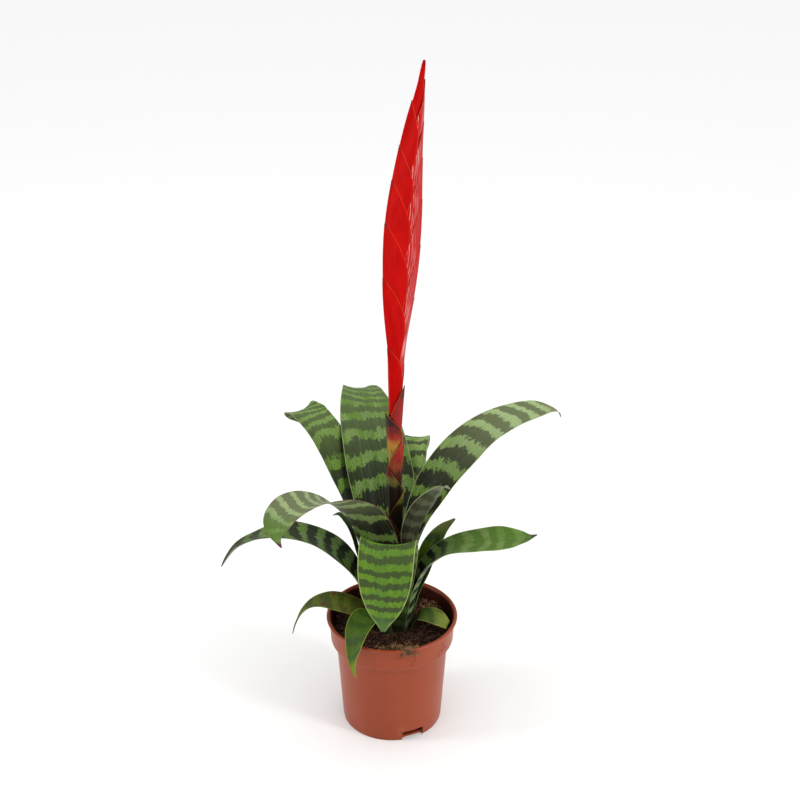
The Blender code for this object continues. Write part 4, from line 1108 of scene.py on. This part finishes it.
def make_rim_moss():
    """Threads of moss that hang over the rim, a little right of the middle."""
    heap = Heap()
    az0 = radians(-76.0)
    for i in range(34):
        a = az0 + rng.normal(0, 0.055)
        r = 58.2
        z = POT_HEIGHT + 0.25
        pts = [((r - 4.0) * cos(a + rng.normal(0, 0.03)), (r - 4.0) * sin(a), z - 0.2 + rng.uniform(0, 0.8)),
               (r * cos(a), r * sin(a), z + rng.uniform(0.1, 0.8)),
               ((POT_RIM_R + 0.35) * cos(a), (POT_RIM_R + 0.35) * sin(a), z - rng.uniform(0.4, 1.4))]
        n = int(rng.integers(3, 7))
        da = rng.normal(0, 0.05)
        drop = rng.uniform(1.2, 2.9)
        zz = pts[-1][2]
        rr = POT_RIM_R + 0.4
        aa = a
        for k in range(n):
            aa += da * rng.uniform(0.2, 1.0) + rng.normal(0, 0.02)
            zz -= drop * rng.uniform(0.3, 1.0)
            rr = max(POT_COLLAR_R + 0.9, rr - rng.uniform(-0.2, 0.8))
            pts.append((rr * cos(aa), rr * sin(aa), zz))
        add_tube(heap, pts, rng.uniform(0.22, 0.34), 0.12)
    heap.build("rim_moss", fibre_material("rim_moss_skin", (0.075, 0.042, 0.016), (0.25, 0.145, 0.060)))
    # two single hairs
    hairs = Heap()
    for a0, z0, ln, da in ((radians(-70), 104.0, 16.0, 0.010), (radians(-38), 101.0, 12.0, 0.030)):
        pts = []
        for k in range(12):
            a = a0 + da * k * (1 if k < 7 else -0.6) * 0.5
            z = z0 - ln * k / 11
            r = (POT_COLLAR_R + 0.55) if z > 85.5 else (POT_WALL_TOP_R + 0.5)
            pts.append((r * cos(a), r * sin(a), z))
        add_tube(hairs, pts, 0.16, 0.12)
    hairs.build("rim_hairs", fibre_material("rim_hair_skin", (0.05, 0.022, 0.014), (0.12, 0.06, 0.03)))


def make_bract_tips():
    """Small dried threads at the ends of three bracts."""
    heap = Heap()
    across, front = spike_frame()
    width = np.array(SPIKE_WIDTH, float)
    for side, z, ln, up in ((-1, 440.6, 5.5, 0.5), (-1, 376.0, 5.0, 0.3), (1, 412.0, 4.0, 0.6), (-1, 547.6, 3.0, 0.2)):
        c = axis_at(z)[0]
        env = curve_through(width[:, 0], width[:, 1], [z])[0]
        p = c + across * side * (env * 1.0 - 0.2)
        pts = []
        for k in range(7):
            q = k / 6
            pts.append(tuple(p + across * side * (-0.3 + 1.2 * sin(2.2 * q)) + front * 0.8 * q + np.array([0, 0, ln * (q - 0.2) * (1 - up * q)])))
        add_tube(heap, pts, 0.32, 0.12, 6)
    ob = heap.build("bract_threads", fibre_material("bract_thread_skin", (0.20, 0.09, 0.04), (0.38, 0.20, 0.09)))


# ------------------------------------------------------------------ build
for k, leaf in enumerate(LEAVES, 1):
    make_leaf(leaf, k)
for k, (tip_z, azimuth) in enumerate(SCAPE_BRACTS, 1):
    make_scape_bract(k, tip_z, azimuth)
for k in range(len(FLORAL_BRACTS)):
    make_floral_bract(k)
make_tip_bud()
make_stem()
make_pot()
make_soil()
make_litter()
make_rim_moss()
make_bract_tips()

# ------------------------------------------------------------------ stage
me = bpy.data.meshes.new("floor")
me.from_pydata([(-15, -15, 0), (15, -15, 0), (15, 15, 0), (-15, 15, 0)], [], [(0, 1, 2, 3)])
floor = bpy.data.objects.new("floor", me)
SCENE.collection.objects.link(floor)
fm = bpy.data.materials.new("floor_paint")
fm.use_nodes = True
fb = fm.node_tree.nodes["Principled BSDF"]
fb.inputs["Base Color"].default_value = (0.86, 0.86, 0.86, 1)
fb.inputs["Roughness"].default_value = 0.9
fb.inputs["Specular IOR Level"].default_value = 0.1
me.materials.append(fm)

world = bpy.data.worlds.new("studio")
world.use_nodes = True
world.node_tree.nodes["Background"].inputs["Color"].default_value = (1.0, 1.0, 1.0, 1)
world.node_tree.nodes["Background"].inputs["Strength"].default_value = 0.34
SCENE.world = world


def area(name, loc, target, size, power, colour=(1, 1, 1), size_y=None):
    data = bpy.data.lights.new(name, "AREA")
    data.energy = power
    data.size = size
    data.color = colour
    if size_y:
        data.shape = "RECTANGLE"
        data.size_y = size_y
    ob = bpy.data.objects.new(name, data)
    ob.location = loc
    ob.rotation_euler = (Vector(target) - Vector(loc)).to_track_quat("-Z", "Y").to_euler()
    SCENE.collection.objects.link(ob)
    return ob


area("sky", (0, 2.0, 6.0), (0, 2.0, 0), 24.0, 1640)
area("strip_right", (1.25, -0.75, 0.75), (0, 0, 0.32), 0.30, 13, (1.0, 0.99, 0.97), 1.5)
area("strip_left", (-1.5, -0.2, 0.8), (0, 0, 0.25), 0.35, 10, (1.0, 1.0, 1.0), 1.5)

cam_data = bpy.data.cameras.new("camera")
cam_data.sensor_width = 36.0
cam_data.lens = 63.0
cam_data.clip_end = 60.0
cam = bpy.data.objects.new("camera", cam_data)
cam.location = (0.0074, -1.0758, 0.8393)
cam.rotation_euler = (radians(64.5), 0, 0)
SCENE.collection.objects.link(cam)
SCENE.camera = cam
SCENE.view_settings.view_transform = "Standard"
SCENE.view_settings.look = "None"
